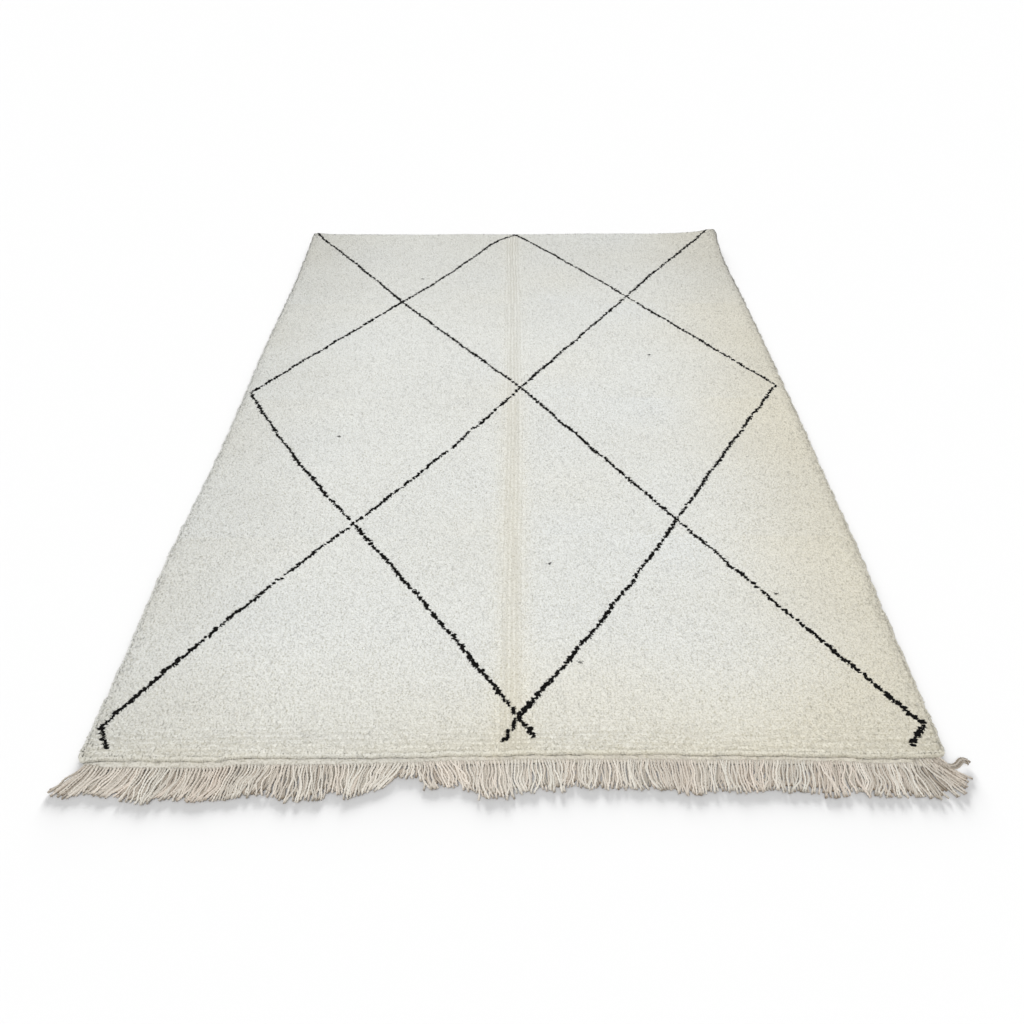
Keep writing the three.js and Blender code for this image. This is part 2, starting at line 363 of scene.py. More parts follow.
@dataclass(frozen=True)
class Wool:
    """A finish of matt sheep's wool, with no gloss, a faint sheen and fine fibres.

    Attributes:
        name: the wool and how it is made up.
        light: the shade of clean wool.
        dark: the shade of grimy or shaded wool.
        cool: the tone that the shade is multiplied by where the wool is coolest.
        warm: the tone where it is yellowest.
        sheen: how much light the stray fibres catch at a grazing view.
        yarn_mm: how wide one end of yarn is.
        yarn_depth_mm: how deep the clefts between yarn ends are.
        relief: how strongly those clefts turn the shading.
        painted_cleft_shade: painted shade, the share of its light that the wool keeps down between yarn ends.
        cleft_shade_reach: how far from a yarn end's middle that painted shade starts and is darkest, in yarn
            widths.
    """

    name: str
    light: str
    dark: str
    cool: str = "ffffff"
    warm: str = "ffffff"
    sheen: float = 0.1
    yarn_mm: float = 4.2
    yarn_depth_mm: float = 1.0
    relief: float = 0.28
    painted_cleft_shade: str = "dbd9d1"
    cleft_shade_reach: tuple[float, float] = (0.5, 0.95)

    def make(self) -> bpy.types.Material:
        """Builds the material: tint picks the shade, warmth its tone, and painted shade darkens the clefts
        between yarn ends.

        Returns:
            The material.
        """
        material = bpy.data.materials.new(self.name)
        material.use_nodes = True
        tree = material.node_tree
        shader = tree.nodes["Principled BSDF"]
        for name, value in (
            ("Roughness", 1.0),
            ("Specular IOR Level", 0.1),
            ("Sheen Weight", self.sheen),
            ("Sheen Roughness", 0.6),
        ):
            shader.inputs[name].default_value = value
        tint, warmth = (
            add_node(tree, "ShaderNodeAttribute", {"attribute_name": name}).outputs["Fac"]
            for name in ("tint", "warmth")
        )
        shade = self.blend(tree, tint, self.dark, self.light)
        tone = self.blend(tree, warmth, self.cool, self.warm)
        place = add_node(tree, "ShaderNodeTexCoord").outputs["Object"]
        grain = {"feature": "F1", "Scale": 1 / (self.yarn_mm * MM)}
        ends = add_node(tree, "ShaderNodeTexVoronoi", grain, {"Vector": place}).outputs["Distance"]
        # Painted shade: the colour is darkened between yarn ends, where shade falls.
        start, darkest = self.cleft_shade_reach
        reach = {"From Min": start, "From Max": darkest}
        painted_cleft_shade = add_node(tree, "ShaderNodeMapRange", reach, {"Value": ends}).outputs[0]
        depth = {"invert": True, "Strength": self.relief, "Distance": self.yarn_depth_mm * MM}
        bump = add_node(tree, "ShaderNodeBump", depth, {"Height": ends})
        toned = self.multiply(tree, shade, tone)
        final = self.multiply(tree, toned, self.blend(tree, painted_cleft_shade, "ffffff", self.painted_cleft_shade))
        tree.links.new(final, shader.inputs["Base Color"])
        tree.links.new(bump.outputs["Normal"], shader.inputs["Normal"])
        return material

    @staticmethod
    def multiply(
        tree: bpy.types.NodeTree, a: bpy.types.NodeSocket, b: bpy.types.NodeSocket
    ) -> bpy.types.NodeSocket:
        """Multiplies one colour by another."""
        settings = {"data_type": "RGBA", "blend_type": "MULTIPLY", 0: 1.0}
        return add_node(tree, "ShaderNodeMix", settings, {6: a, 7: b}).outputs[2]

    @staticmethod
    def blend(
        tree: bpy.types.NodeTree, share: bpy.types.NodeSocket, low: str, high: str
    ) -> bpy.types.NodeSocket:
        """Blends from one hex colour to another by a share."""
        settings = {"data_type": "RGBA", 6: srgb(low), 7: srgb(high)}
        return add_node(tree, "ShaderNodeMix", settings, {0: share}).outputs[2]


# --------------------------------------------------------------------------------------------------------
# The rug's plan, its wear and its lattice
# --------------------------------------------------------------------------------------------------------


@dataclass
class RugPlan:
    """The field's outline in plan, how far its corners lift, and where it lies in the frame.

    Attributes:
        width: the field's width.
        length: its length, without the woven end.
        top: how high the tips of the pile stand.
        lump: how far the pile rises and sinks in soft lumps.
        bows_mm: how far each edge bows out, as rows of (place along the edge in metres, millimetres).
        corner_lifts: rows of (side, height, radius) for the far corners.
        near_corners: how far the near corners are rounded off, and how far from the corner that starts.
        far_corners: the same for the far corners.
        waver_depth: how far the foot of the near edge wavers.
        waver_length: over what length it does so.
        shift: the plan's own origin, the middle of the near edge, in the frame.
    """

    width: float = 2.030
    length: float = 3.000
    top: float = 16 * MM
    lump: float = 0.9 * MM
    bows_mm: dict[Edge, list[tuple[float, float]]] = field(
        default_factory=lambda: {
            Edge.LEFT: [(0, 2), (0.28, -1), (0.6, 3), (1.3, -14), (1.8, -10), (2.5, -18), (3.0, -9)],
            Edge.RIGHT: [
                (0, -3), (0.13, -2), (0.4, 1), (0.75, 9), (1.5, 10), (2.0, 7), (2.2, 4), (2.7, -6), (3.0, 1),
            ],
            Edge.NEAR: [
                (-1.015, 10), (-0.95, 2), (-0.7, 4), (-0.64, -5), (-0.5, -5), (-0.3, -6), (-0.1, -11),
                (0.1, -15), (0.33, -16), (0.45, -12), (0.6, -12), (0.75, -9), (0.85, -4), (0.92, -5),
                (1.015, -8),
            ],
            Edge.FAR: [(-1.015, 15), (-0.7, 14), (-0.47, 11), (-0.2, 17), (0.1, 16), (0.4, 24), (1.015, 24)],
        }
    )
    corner_lifts: tuple[tuple[int, float, float], ...] = (
        (-1, 0.008, 0.150),
        (-1, 0.014, 0.090),
        (1, 0.017, 0.360),
        (1, 0.020, 0.130),
    )
    near_corners: tuple[float, float] = (4 * MM, 20 * MM)
    far_corners: tuple[float, float] = (15 * MM, 60 * MM)
    waver_depth: float = 1.7 * MM
    waver_length: float = 0.021
    shift: Grid = field(default_factory=lambda: np.zeros(2))

    def __post_init__(self) -> None:
        """Moves the plan so that its middle is that of the field's node in the frame."""
        t = np.linspace(0.0, 1.0, 400)
        zero, one = np.zeros_like(t), np.ones_like(t)
        walks = ((t, zero), (t, one), (zero, t), (one, t))
        rim = np.concatenate([np.stack(self.place(p, q), -1) for p, q in walks])
        low, high = (np.array(corner)[:2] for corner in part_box(FIELD_NODE))
        self.shift = (low + high) / 2 - (rim.min(0) + rim.max(0)) / 2

    def waver(self, x: Grid) -> Grid:
        """How far the foot of the near edge wavers off its bow, at places across the rug."""
        return self.waver_depth * soft_noise(x, x * 0, (self.waver_length, 1.0), 57)

    def place(self, p: Grid, q: Grid, out: float = 0.0) -> tuple[Grid, Grid]:
        """A place on the field in plan, within its four bowed edges and round its corners.

        Args:
            p: share of the way across, 0 at the left edge.
            q: share of the way along, 0 at the near edge.
            out: how far the outline is let out, or in where it is below 0.

        Returns:
            The places across and along.
        """
        x0, y0 = (p - 0.5) * self.width, q * self.length
        left = read_table(self.bows_mm[Edge.LEFT], y0) * MM + self.ripple(y0) + out
        right = read_table(self.bows_mm[Edge.RIGHT], y0) * MM + self.ripple(y0 + 7.1) + out
        near = read_table(self.bows_mm[Edge.NEAR], x0) * MM + out
        far = read_table(self.bows_mm[Edge.FAR], x0) * MM + out
        x = x0 - (1 - p) * left + p * right
        y = y0 - (1 - q) * near + q * far
        aside, ahead = self.width / 2 - np.abs(x0), np.minimum(y0, self.length - y0)
        is_near = y0 < self.length / 2
        size, start = (np.where(is_near, *pair) for pair in zip(self.near_corners, self.far_corners))
        cut = size * np.maximum(0.0, 1 - np.hypot(aside, ahead) / start) ** 2
        x = x - cut * np.sign(x0)
        y = y - cut * np.sign(y0 - self.length / 2)
        return x + self.shift[0], y + self.shift[1]

    @staticmethod
    def ripple(along: Grid) -> Grid:
        """How far the side edges stray: crossed waves some 50 and 110 mm long, up to 2.6 mm in and out."""
        return (1.5 * np.sin(along / 0.0079) * np.sin(along / 0.113) + 1.1 * np.sin(along / 0.0175)) * MM

    def lift(self, x: Grid, y: Grid) -> Grid:
        """How far the rug stands off the floor.

        Each lift falls off from its corner as the square of one less the distance over the radius.

        Args:
            x: places across.
            y: places along.

        Returns:
            The height that the lifts add.
        """
        total = np.zeros_like(x)
        for side, height, radius in self.corner_lifts:
            corner = self.shift + (side * self.width / 2, self.length)
            away = np.hypot(x - corner[0], y - corner[1])
            total += height * np.maximum(0.0, 1 - away / radius) ** 2
        return total

    def lumps(self, x: Grid, y: Grid) -> Grid:
        """Soft lumps of the pile, as three crossed waves of different lengths.

        Args:
            x: places across.
            y: places along.

        Returns:
            The height that the lumps add, below 0 in the hollows.
        """
        x, y = x - self.shift[0], y - self.shift[1]
        waves = np.sin(x / 0.097 + y / 0.171) + np.sin(y / 0.083 - x / 0.140) + np.sin((x + y) / 0.061)
        return self.lump * waves / 3


@dataclass
class Wear:
    """How storage and use have changed the pile, as smooth fields over the rug.

    Attributes:
        plan: the rug's plan.
        fold_x: where the middle fold runs, from the rug's middle.
        fold_half: the fold's half width.
        clean: the tint of clean pile.
        fold_clean: how much cleaner the pile is in the fold.
        side_grime: how the pile grows grimier away from the middle.
        near_grime: how that of the fringed end fades away from it.
        near_grime_share: how grimy that end is.
        far_grime: how the pile grows grimier towards the far end.
        grime_patches: how far soft patches are cleaner or grimier.
        warm_all_over: the warmth that all the pile has.
        warm_right: how the pile grows yellower to the right.
        warm_right_fades: how that fades along the rug.
        warm_near: how yellow the fringed end is.
        warm_near_right: how that grows to the right.
        warm_near_fades: how the fringed end's warmth fades away from it.
        warm_foot: how much yellower the last rows of knots are.
        warm_foot_fades: how that fades.
        warm_fold: how yellow the fold is.
        warm_fold_fades: how that fades along the rug.
        warm_patches: how far soft patches are warmer or cooler.
    """

    plan: RugPlan
    fold_x: float = -0.006
    fold_half: float = 0.046
    clean: float = 0.88
    fold_clean: float = 0.06
    side_grime: Fade = Fade(0.5, 0.55, 0.30)
    near_grime: Fade = Fade(0.0, 0.3)
    near_grime_share: float = 0.12
    far_grime: Fade = Fade(1.8, 1.2, 0.30)
    grime_patches: float = 0.05
    warm_all_over: float = 0.12
    warm_right: Fade = Fade(0.45, 0.60, 0.85)
    warm_right_fades: Fade = Fade(1.5, 1.3, 0.6)
    warm_near: float = 0.28
    warm_near_right: Fade = Fade(-0.6, 1.0, 0.36)
    warm_near_fades: Fade = Fade(0.0, 0.42)
    warm_foot: float = 0.22
    warm_foot_fades: Fade = Fade(0.0, 0.07)
    warm_fold: float = 0.47
    warm_fold_fades: Fade = Fade(0.9, 1.2, 0.30)
    warm_patches: float = 0.14

    def fold(self, x: Grid) -> Grid:
        """How worn the pile is: 1 along the middle fold, falling off as a bell curve to each side."""
        return np.exp(-(((x - self.plan.shift[0] - self.fold_x) / self.fold_half) ** 2))

    def warmth(self, x: Grid, y: Grid) -> Grid:
        """How yellow the pile is: more to the right, at the fringed end and along the near half of the fold.

        Args:
            x: places across.
            y: places along.

        Returns:
            The warmth, the sum of those shares and of soft patches.
        """
        across, along = x - self.plan.shift[0], y - self.plan.shift[1]
        right = self.warm_right.at(across) * (1 - self.warm_right_fades.at(along))
        near = (self.warm_near + self.warm_near_right.at(across)) * (1 - self.warm_near_fades.at(along))
        foot = self.warm_foot * (1 - self.warm_foot_fades.at(along))
        fold = self.fold(x) * (self.warm_fold - self.warm_fold_fades.at(along))
        patches = self.warm_patches * soft_noise(x, y, (0.30, 0.24), 3)
        return self.warm_all_over + right + near + foot + fold + patches

    def tint(self, x: Grid, y: Grid) -> Grid:
        """How clean the pile is: less along the sides and at both ends, a little more along the fold.

        Args:
            x: places across.
            y: places along.

        Returns:
            The tint.
        """
        across, along = x - self.plan.shift[0], y - self.plan.shift[1]
        sides = self.side_grime.at(np.abs(across))
        ends = self.near_grime_share * (1 - self.near_grime.at(along)) + self.far_grime.at(along)
        patches = self.grime_patches * soft_noise(x, y, (0.22, 0.16), 4)
        return self.clean - sides - ends + self.fold_clean * self.fold(x) + patches


@dataclass
class DiamondLattice:
    """The dark lattice of two by two diamonds, as bowed strokes between named crossings.

    Attributes:
        plan: the rug's plan.
        half_width: half the width of a stroke.
        swell: rows of (place along in metres, share) for how that width changes along the rug.
        ragged: how far single knots stray from that.
        beads: how far the width swells and thins along a stroke.
        jag: how far whole rows of knots are set aside.
        wobble: how far a stroke wavers, and over what length.
        steps: how many points a stroke is drawn with.
        search: how far round a stroke places are measured from it, which is wider than any stroke.
        crossings: places as shares of the field's half width and of its length.
        strokes: rows of (start, end, bow), the bow being how far the middle lies off the straight way.
        specks: places of stray dark fibres, as shares like the crossings.
    """

    plan: RugPlan
    half_width: float = 4.6 * MM
    swell: tuple[tuple[float, float], ...] = (
        (0.0, 1.30),
        (0.3, 0.98),
        (0.6, 0.87),
        (1.5, 0.87),
        (2.2, 0.93),
        (3.0, 0.96),
    )
    ragged: float = 1.1 * MM
    beads: float = 0.95 * MM
    jag: float = 2.1 * MM
    wobble: tuple[float, float] = (2.2 * MM, 0.19)
    steps: int = 28
    search: float = 0.03
    crossings: dict[str, tuple[float, float]] = field(
        default_factory=lambda: {
            "near_left": (-0.979, 0.0304),
            "near_middle": (0.0115, 0.0332),
            "near_right": (0.974, 0.0278),
            "low_left": (-0.4850, 0.2695),
            "low_right": (0.488, 0.2733),
            "side_left": (-0.975, 0.515),
            "centre": (0.0165, 0.524),
            "side_right": (0.964, 0.529),
            "high_left": (-0.493, 0.7555),
            "high_right": (0.487, 0.769),
            "far_left": (-0.978, 0.997),
            "far_middle": (0.0064, 0.9975),
            "far_right": (0.954, 0.997),
            "foot_left": (-0.9455, 0.0095),
            "foot_right": (0.9306, 0.0112),
            "bend_far_left": (-0.110, 0.957),
            "tail_left": (-0.0205, 0.011),
            "tail_right": (0.049, 0.014),
        }
    )
    strokes: tuple[tuple[str, str, float], ...] = (
        ("far_left", "high_left", 0.006),
        ("high_left", "centre", -0.002),
        ("centre", "low_right", 0.0),
        ("low_right", "near_right", -0.003),
        ("far_right", "high_right", -0.012),
        ("high_right", "centre", 0.0),
        ("centre", "low_left", 0.012),
        ("low_left", "near_left", -0.014),
        ("far_middle", "bend_far_left", -0.003),
        ("bend_far_left", "high_left", 0.013),
        ("high_left", "side_left", -0.002),
        ("far_middle", "high_right", 0.009),
        ("high_right", "side_right", 0.001),
        ("side_left", "low_left", -0.018),
        ("low_left", "near_middle", 0.006),
        ("side_right", "low_right", -0.003),
        ("low_right", "near_middle", 0.012),
        ("near_middle", "tail_left", 0.0),
        ("near_middle", "tail_right", 0.0),
        ("near_left", "foot_left", 0.0),
        ("near_right", "foot_right", 0.0),
    )
    specks: tuple[tuple[float, float], ...] = (
        (0.098, 0.209),
        (0.167, 0.088),
        (0.524, 0.602),
        (-0.422, 0.830),
        (0.370, 0.334),
        (-0.61, 0.42),
        (0.72, 0.17),
    )

    def lines(self) -> list[Grid]:
        """Draws the strokes: each is the straight way, plus a bow that is a parabola, plus a slow wobble.

        Returns:
            A row of points for each stroke.
        """
        t = np.linspace(0.0, 1.0, self.steps)
        drawn = []
        for number, (start, end, bow) in enumerate(self.strokes):
            ends = np.array([self.crossings[start], self.crossings[end]])
            x, y = self.plan.place((ends[:, 0] + 1) / 2, ends[:, 1])
            a, b = np.array([x[0], y[0]]), np.array([x[1], y[1]])
            along = b - a
            reach = np.hypot(*along)
            square = np.array([-along[1], along[0]]) / reach
            depth, length = self.wobble
            wobble = depth * np.sin(math.tau * reach * t / length + number) * np.sin(math.pi * t)
            drawn.append(a + along * t[:, None] + square * (4 * bow * t * (1 - t) + wobble)[:, None])
        return drawn

    def distance(self, x: Grid, y: Grid) -> Grid:
        """Measures how far each place lies from the nearest stroke.

        Args:
            x: places across.
            y: places along.

        Returns:
            The distances, or infinity where no stroke is near.
        """
        nearest = np.full(x.shape, np.inf)
        for line in self.lines():
            low, high = line.min(0) - self.search, line.max(0) + self.search
            close = np.flatnonzero((x > low[0]) & (x < high[0]) & (y > low[1]) & (y < high[1]))
            at = np.stack([x[close], y[close]], -1)[:, None]
            a, run = line[:-1][None], (line[1:] - line[:-1])[None]
            t = np.clip(((at - a) * run).sum(-1) / (run * run).sum(-1), 0, 1)
            away = np.linalg.norm(at - a - run * t[..., None], axis=-1).min(1)
            nearest[close] = np.minimum(nearest[close], away)
        return nearest

    def is_dark(self, x: Grid, y: Grid, seed: int) -> Grid:
        """Picks the dark knots: those nearer a stroke than its half width, which swells and thins like beads.

        Noise from row to row sets whole rows of knots a little aside.

        Args:
            x: places across.
            y: places along.
            seed: picks the noise.

        Returns:
            True for each dark knot.
        """
        rng = np.random.default_rng(seed)
        ragged = self.ragged * rng.uniform(-1.0, 1.0, x.shape)
        beads = self.beads * soft_noise(x, y, (0.021, 0.026), seed + 1)
        jag = self.jag * soft_noise(x, y, (0.4, 0.009), seed + 3)
        width = self.half_width * read_table(self.swell, y - self.plan.shift[1])
        return self.distance(x + jag, y) < width + ragged + beads


# --------------------------------------------------------------------------------------------------------
# The pile
# --------------------------------------------------------------------------------------------------------


@dataclass
class PileGround:
    """The body of the cloth under the tips of the pile: a closed slab with a lumpy top and a flat underside.

    Attributes:
        plan: the rug's plan.
        wear: the fields that shade it.
        cells: how many cells the top has across and along.
        sunk: how far the top lies below the tips of the pile.
        shade: how much darker than the pile it is painted, as the shade down under the tips.
        near_painted_shade: how much more painted shade it has at the fringed end, where rows part.
        near_fades: how that fades away from the end.
        fold_painted_shade: how much more painted shade it has along the fold.
        rings: rows of (out, drop) for the rings that round off the rim, from the top down.
        foot_inset: how far the underside's rim lies in from the outline.
    """

    plan: RugPlan
    wear: Wear
    cells: tuple[int, int] = (64, 96)
    sunk: float = 2.7 * MM
    shade: float = 0.30
    near_painted_shade: float = 0.18
    near_fades: Fade = Fade(0.0, 0.15)
    fold_painted_shade: float = 0.20
    rings: tuple[tuple[float, float], ...] = (
        (-12 * MM, 0.0),
        (-8 * MM, 1.6 * MM),
        (-5.5 * MM, 4.6 * MM),
        (-5.5 * MM, 8.4 * MM),
    )
    foot_inset: float = 6 * MM

    def build(self, finish: bpy.types.Material) -> bpy.types.Object:
        """Builds the slab: a top and an underside on one grid, joined by rings that round the rim off.

        Args:
            finish: the wool of the pile.

        Returns:
            The piece.
        """
        across, along = self.cells
        p, q = np.meshgrid(np.linspace(0, 1, across + 1), np.linspace(0, 1, along + 1))
        number = np.arange(p.size).reshape(p.shape)
        border = np.concatenate([number[0, :-1], number[:-1, -1], number[-1, :0:-1], number[:0:-1, 0]])
        p, q = p.ravel(), q.ravel()
        height = self.plan.top - self.sunk
        top = self.sheet(p, q, self.rings[0][0], height)
        rings = [self.sheet(p[border], q[border], out, height - drop) for out, drop in self.rings[1:]]
        rings.append(self.sheet(p[border], q[border], -self.foot_inset, 0.0))
        under = self.sheet(p, q, self.rings[0][0], 0.0)
        size, start = len(border), len(top)
        last = start + size * len(rings)
        between = np.arange(start, last).reshape(-1, size)
        here = np.concatenate([border[None], between, (last + border)[None]])
        after = np.roll(here, -1, 1)
        low, right, high, left = number[:-1, :-1], number[:-1, 1:], number[1:, 1:], number[1:, :-1]
        flat = np.stack([[low, right, high], [low, high, left]]).transpose(0, 2, 3, 1).reshape(-1, 3)
        band = [(here[:-1], here[1:], after[1:]), (here[:-1], after[1:], after[:-1])]
        sides = [np.stack(corners, -1).reshape(-1, 3) for corners in band]
        faces = np.concatenate([flat, *sides, flat[:, ::-1] + last])
        points = np.concatenate([top, *rings, under])
        x, y = points[:, 0], points[:, 1]
        # Painted shade: the ground is darkened as the shade down in the pile, most at the fringed end and in
        # the fold.
        near = 1 - self.near_fades.at(y - self.plan.shift[1])
        shade = self.shade + self.near_painted_shade * near + self.fold_painted_shade * self.wear.fold(x)
        ground = Yarn(points, faces, self.wear.tint(x, y) - shade, self.wear.warmth(x, y))
        return ground.piece("pile_ground", finish)

    def sheet(self, p: Grid, q: Grid, out: float, height: float) -> Grid:
        """Points at shares across and along, let out so far and so high above the underside.

        Args:
            p: shares across.
            q: shares along.
            out: how far the outline is let out.
            height: the height, which takes on the pile's lumps as it nears the top.

        Returns:
            The points.
        """
        x, y = self.plan.place(p, q, out)
        z = height + self.plan.lift(x, y) + self.plan.lumps(x, y) * height / self.plan.top
        return np.stack([x, y, z], -1)


@dataclass
class Knots:
    """A table of knots: each one's place in plan and the strip of the field that it is in."""

    x: Grid
    y: Grid
    strip: Grid

    def where(self, wanted: Grid) -> "Knots":
        """The wanted knots only."""
        return Knots(self.x[wanted], self.y[wanted], self.strip[wanted])


@dataclass
class KnottedPile:
    """The knots of the pile, row by row: cream ones in strips of the field, and the dark ones of the lattice.

    Attributes:
        plan: the rug's plan.
        wear: the fields that shade and thin the pile.
        lattice: where the dark knots are.
        pitch: from knot to knot and from row to row.
        inset: how far the outermost knots stand in from the outline.
        strips: how many pieces the cream field is made as.
        depth: how far the tips stand above the foot of each tuft.
        tuft_mm: how long a tuft is along the rug.
        tuft_range: the least and the greatest share of that.
        nod_mm: how far a tip may stand aside from its root, across and along.
        stray: how far knots stray across, as a share of the pitch, and how much less they do in the fold.
        pairing: how far two columns are drawn together in the fold, as a share of the pitch.
        row_stray: how far knots stray along at the fringed end, as a share of the pitch.
        row_stray_grows: how that grows along the rug's share.
        rows_reach: how far from the fringed end rows of knots can be told apart.
        row_pitch: from one parting between rows to the next.
        row_push: how far knots are pushed away from a parting.
        row_push_reach: how far from the parting that is most.
        row_bend: how far noise bends partings, as a share of their pitch.
        row_breaks: how open partings are, and how far noise opens and closes them.
        side_rows: how open they are at the side edges.
        parting_half: the half width of a parting.
        rough: how rough the pile is, and how much rougher at the fringed end.
        rough_fades: how the roughness of the fringed end fades away from it.
        lower_mm: how much lower tips lie in the fold, in a parting and, at random, where the pile is rough.
        side_drop: how much lower tips lie where the pile leans out most.
        side_nod: how far they lean out there.
        flatten: how much wider and shorter tufts are at the fringed end, and where they lean out.
        fold_narrows: how much narrower they are in the fold.
        parting_shortens: how much shorter they are in a parting.
        uneven: how far the tints of rough tufts differ at random.
        parting_painted_shade: how much painted shade darkens a parting.
        side_streaks: how strong the streaks of the sides are, and how much darker the pile is there.
        fold_streaks: how strong the streaks of the fold are.
        splay_reach: how far in from the side edges the pile leans out.
        spike_aim: how far stray dark ends turn away from straight sideways, in radians.
        spike_mm: the least and the greatest reach of such an end.
        spike_half_mm: the same for its half thickness.
        rim_pitch: from tuft to tuft along the rim.
        rim_lean_mm: how far neighbouring tips of the rim lean in and out together.
        seed: picks all the small differences between knots.
        storeys_mm: for the rim, rows of (root out, root height, tip out, tip height, how much
            darker it is painted, as shade).
        near_storeys_mm: the same for the fringed end, whose pile ends above the woven end; its lower storeys
            are darkened with painted shade, as under an overhang.
    """

    plan: RugPlan
    wear: Wear
    lattice: DiamondLattice
    pitch: float = 6.5 * MM
    inset: float = 6 * MM
    strips: int = 4
    depth: float = 2.9 * MM
    tuft_mm: float = 6.9
    tuft_range: tuple[float, float] = (0.88, 1.14)
    nod_mm: tuple[tuple[float, float], ...] = ((-1.6, 1.6), (-2.0, 1.0))
    stray: tuple[float, float] = (0.40, 0.30)
    pairing: float = 0.32
    row_stray: float = 0.18
    row_stray_grows: Fade = Fade(0.03, 0.25, 0.22)
    rows_reach: float = 0.125
    row_pitch: float = 16 * MM
    row_push: float = 3.2 * MM
    row_push_reach: float = 3 * MM
    row_bend: float = 0.75
    row_breaks: tuple[float, float] = (0.75, 0.9)
    side_rows: float = 0.60
    parting_half: float = 3.4 * MM
    rough: tuple[float, float] = (0.36, 1.7)
    rough_fades: Fade = Fade(0.01, 0.15)
    lower_mm: tuple[float, float, float] = (0.5, 3.1, 0.6)
    side_drop: float = 1.3 * MM
    side_nod: float = 2.4 * MM
    flatten: tuple[float, float] = (0.14, 0.24)
    fold_narrows: float = 0.46
    parting_shortens: float = 0.3
    uneven: float = 0.12
    parting_painted_shade: float = 0.75
    side_streaks: tuple[float, float] = (0.20, 0.05)
    fold_streaks: float = 0.42
    splay_reach: float = 0.045
    spike_aim: float = 0.4
    spike_mm: tuple[float, float] = (4.0, 9.0)
    spike_half_mm: tuple[float, float] = (1.1, 1.7)
    rim_pitch: float = 5.4 * MM
    rim_lean_mm: float = 1.8
    seed: int = 11
    storeys_mm: tuple[tuple[float, ...], ...] = (
        (-6.0, 12.0, -1.0, 14.2, 0.0),
        (-7.5, 8.5, 0.6, 9.8, 0.0),
        (-8.5, 4.0, -1.2, 4.8, 0.0),
    )
    near_storeys_mm: tuple[tuple[float, ...], ...] = (
        (-3.6, 13.0, -2.8, 16.0, 0.16),
        (-2.6, 11.2, -1.1, 14.4, 0.34),
        (-1.9, 8.8, 0.3, 11.8, 0.52),
        (-1.6, 6.4, 0.6, 9.0, 0.74),
    )

    def knots(self) -> Knots:
        """Places every knot on a grid, each a little off its place, so that rows show at the fringed end.

        Knots stray least across the worn fold, where two and two columns are drawn together, and where rows
        part they are pushed to either side of the parting, most of all those 3 mm away from it.

        Returns:
            The knots.
        """
        rng = np.random.default_rng(self.seed)
        columns = round((self.plan.width - 2 * self.inset) / self.pitch)
        rows = round((self.plan.length - 2 * self.inset) / self.pitch)
        i, j = (a.ravel() for a in np.meshgrid(np.arange(columns), np.arange(rows)))
        x_plain = ((i + 0.5) / columns - 0.5) * self.plan.width + self.plan.shift[0]
        worn = self.wear.fold(x_plain) ** 2
        usual, less = self.stray
        stray = (usual - less * worn) * rng.uniform(-1, 1, i.shape)
        p = (i + 0.5 + stray + self.pairing * worn * (1 - 2 * (i % 2))) / columns
        row_stray = (self.row_stray + self.row_stray_grows.at(j / rows)) * rng.uniform(-1, 1, i.shape)
        q = (j + 0.5 + row_stray) / rows
        x, y = self.plan.place(p, q, -self.inset)
        off, strength = self.parting(x, y)
        reach = off / self.row_push_reach
        y = y + self.row_push * strength * reach * np.exp(-(reach**2))
        return Knots(x, y, j * self.strips // rows)

    def parting(self, x: Grid, y: Grid) -> tuple[Grid, Grid]:
        """How far off the nearest parting between two rows of knots each place lies, and how open that is.

        Partings come back every row pitch. Noise bends them and breaks them up, and they close away from
        the fringed end.

        Args:
            x: places across.
            y: places along.

        Returns:
            The distance along the rug from the parting, and a share that is 1 where it is wide open.
        """
        along = y - self.plan.shift[1]
        phase = along / self.row_pitch + self.row_bend * soft_noise(x, y, (0.12, 0.06), self.seed + 5)
        usual, swing = self.row_breaks
        broken = np.clip(usual + swing * soft_noise(x, y, (0.080, 0.010), self.seed + 6), 0, 1)
        near = 1 - ease(along / self.rows_reach)
        sides = self.side_rows * np.abs(self.splay(x, y))
        return (phase % 1 - 0.5) * self.row_pitch, broken * np.maximum(near, sides)

    def splay(self, x: Grid, y: Grid) -> Grid:
        """How far the pile leans out over the side edges.

        Args:
            x: places across.
            y: places along.

        Returns:
            The lean, from -1 at the left edge to 1 at the right one, and 0 between.
        """
        across, along = x - self.plan.shift[0], np.clip(y - self.plan.shift[1], 0, self.plan.length)
        left = across + self.plan.width / 2 + read_table(self.plan.bows_mm[Edge.LEFT], along) * MM
        right = self.plan.width / 2 + read_table(self.plan.bows_mm[Edge.RIGHT], along) * MM - across
        return (1 - ease(right / self.splay_reach)) - (1 - ease(left / self.splay_reach))

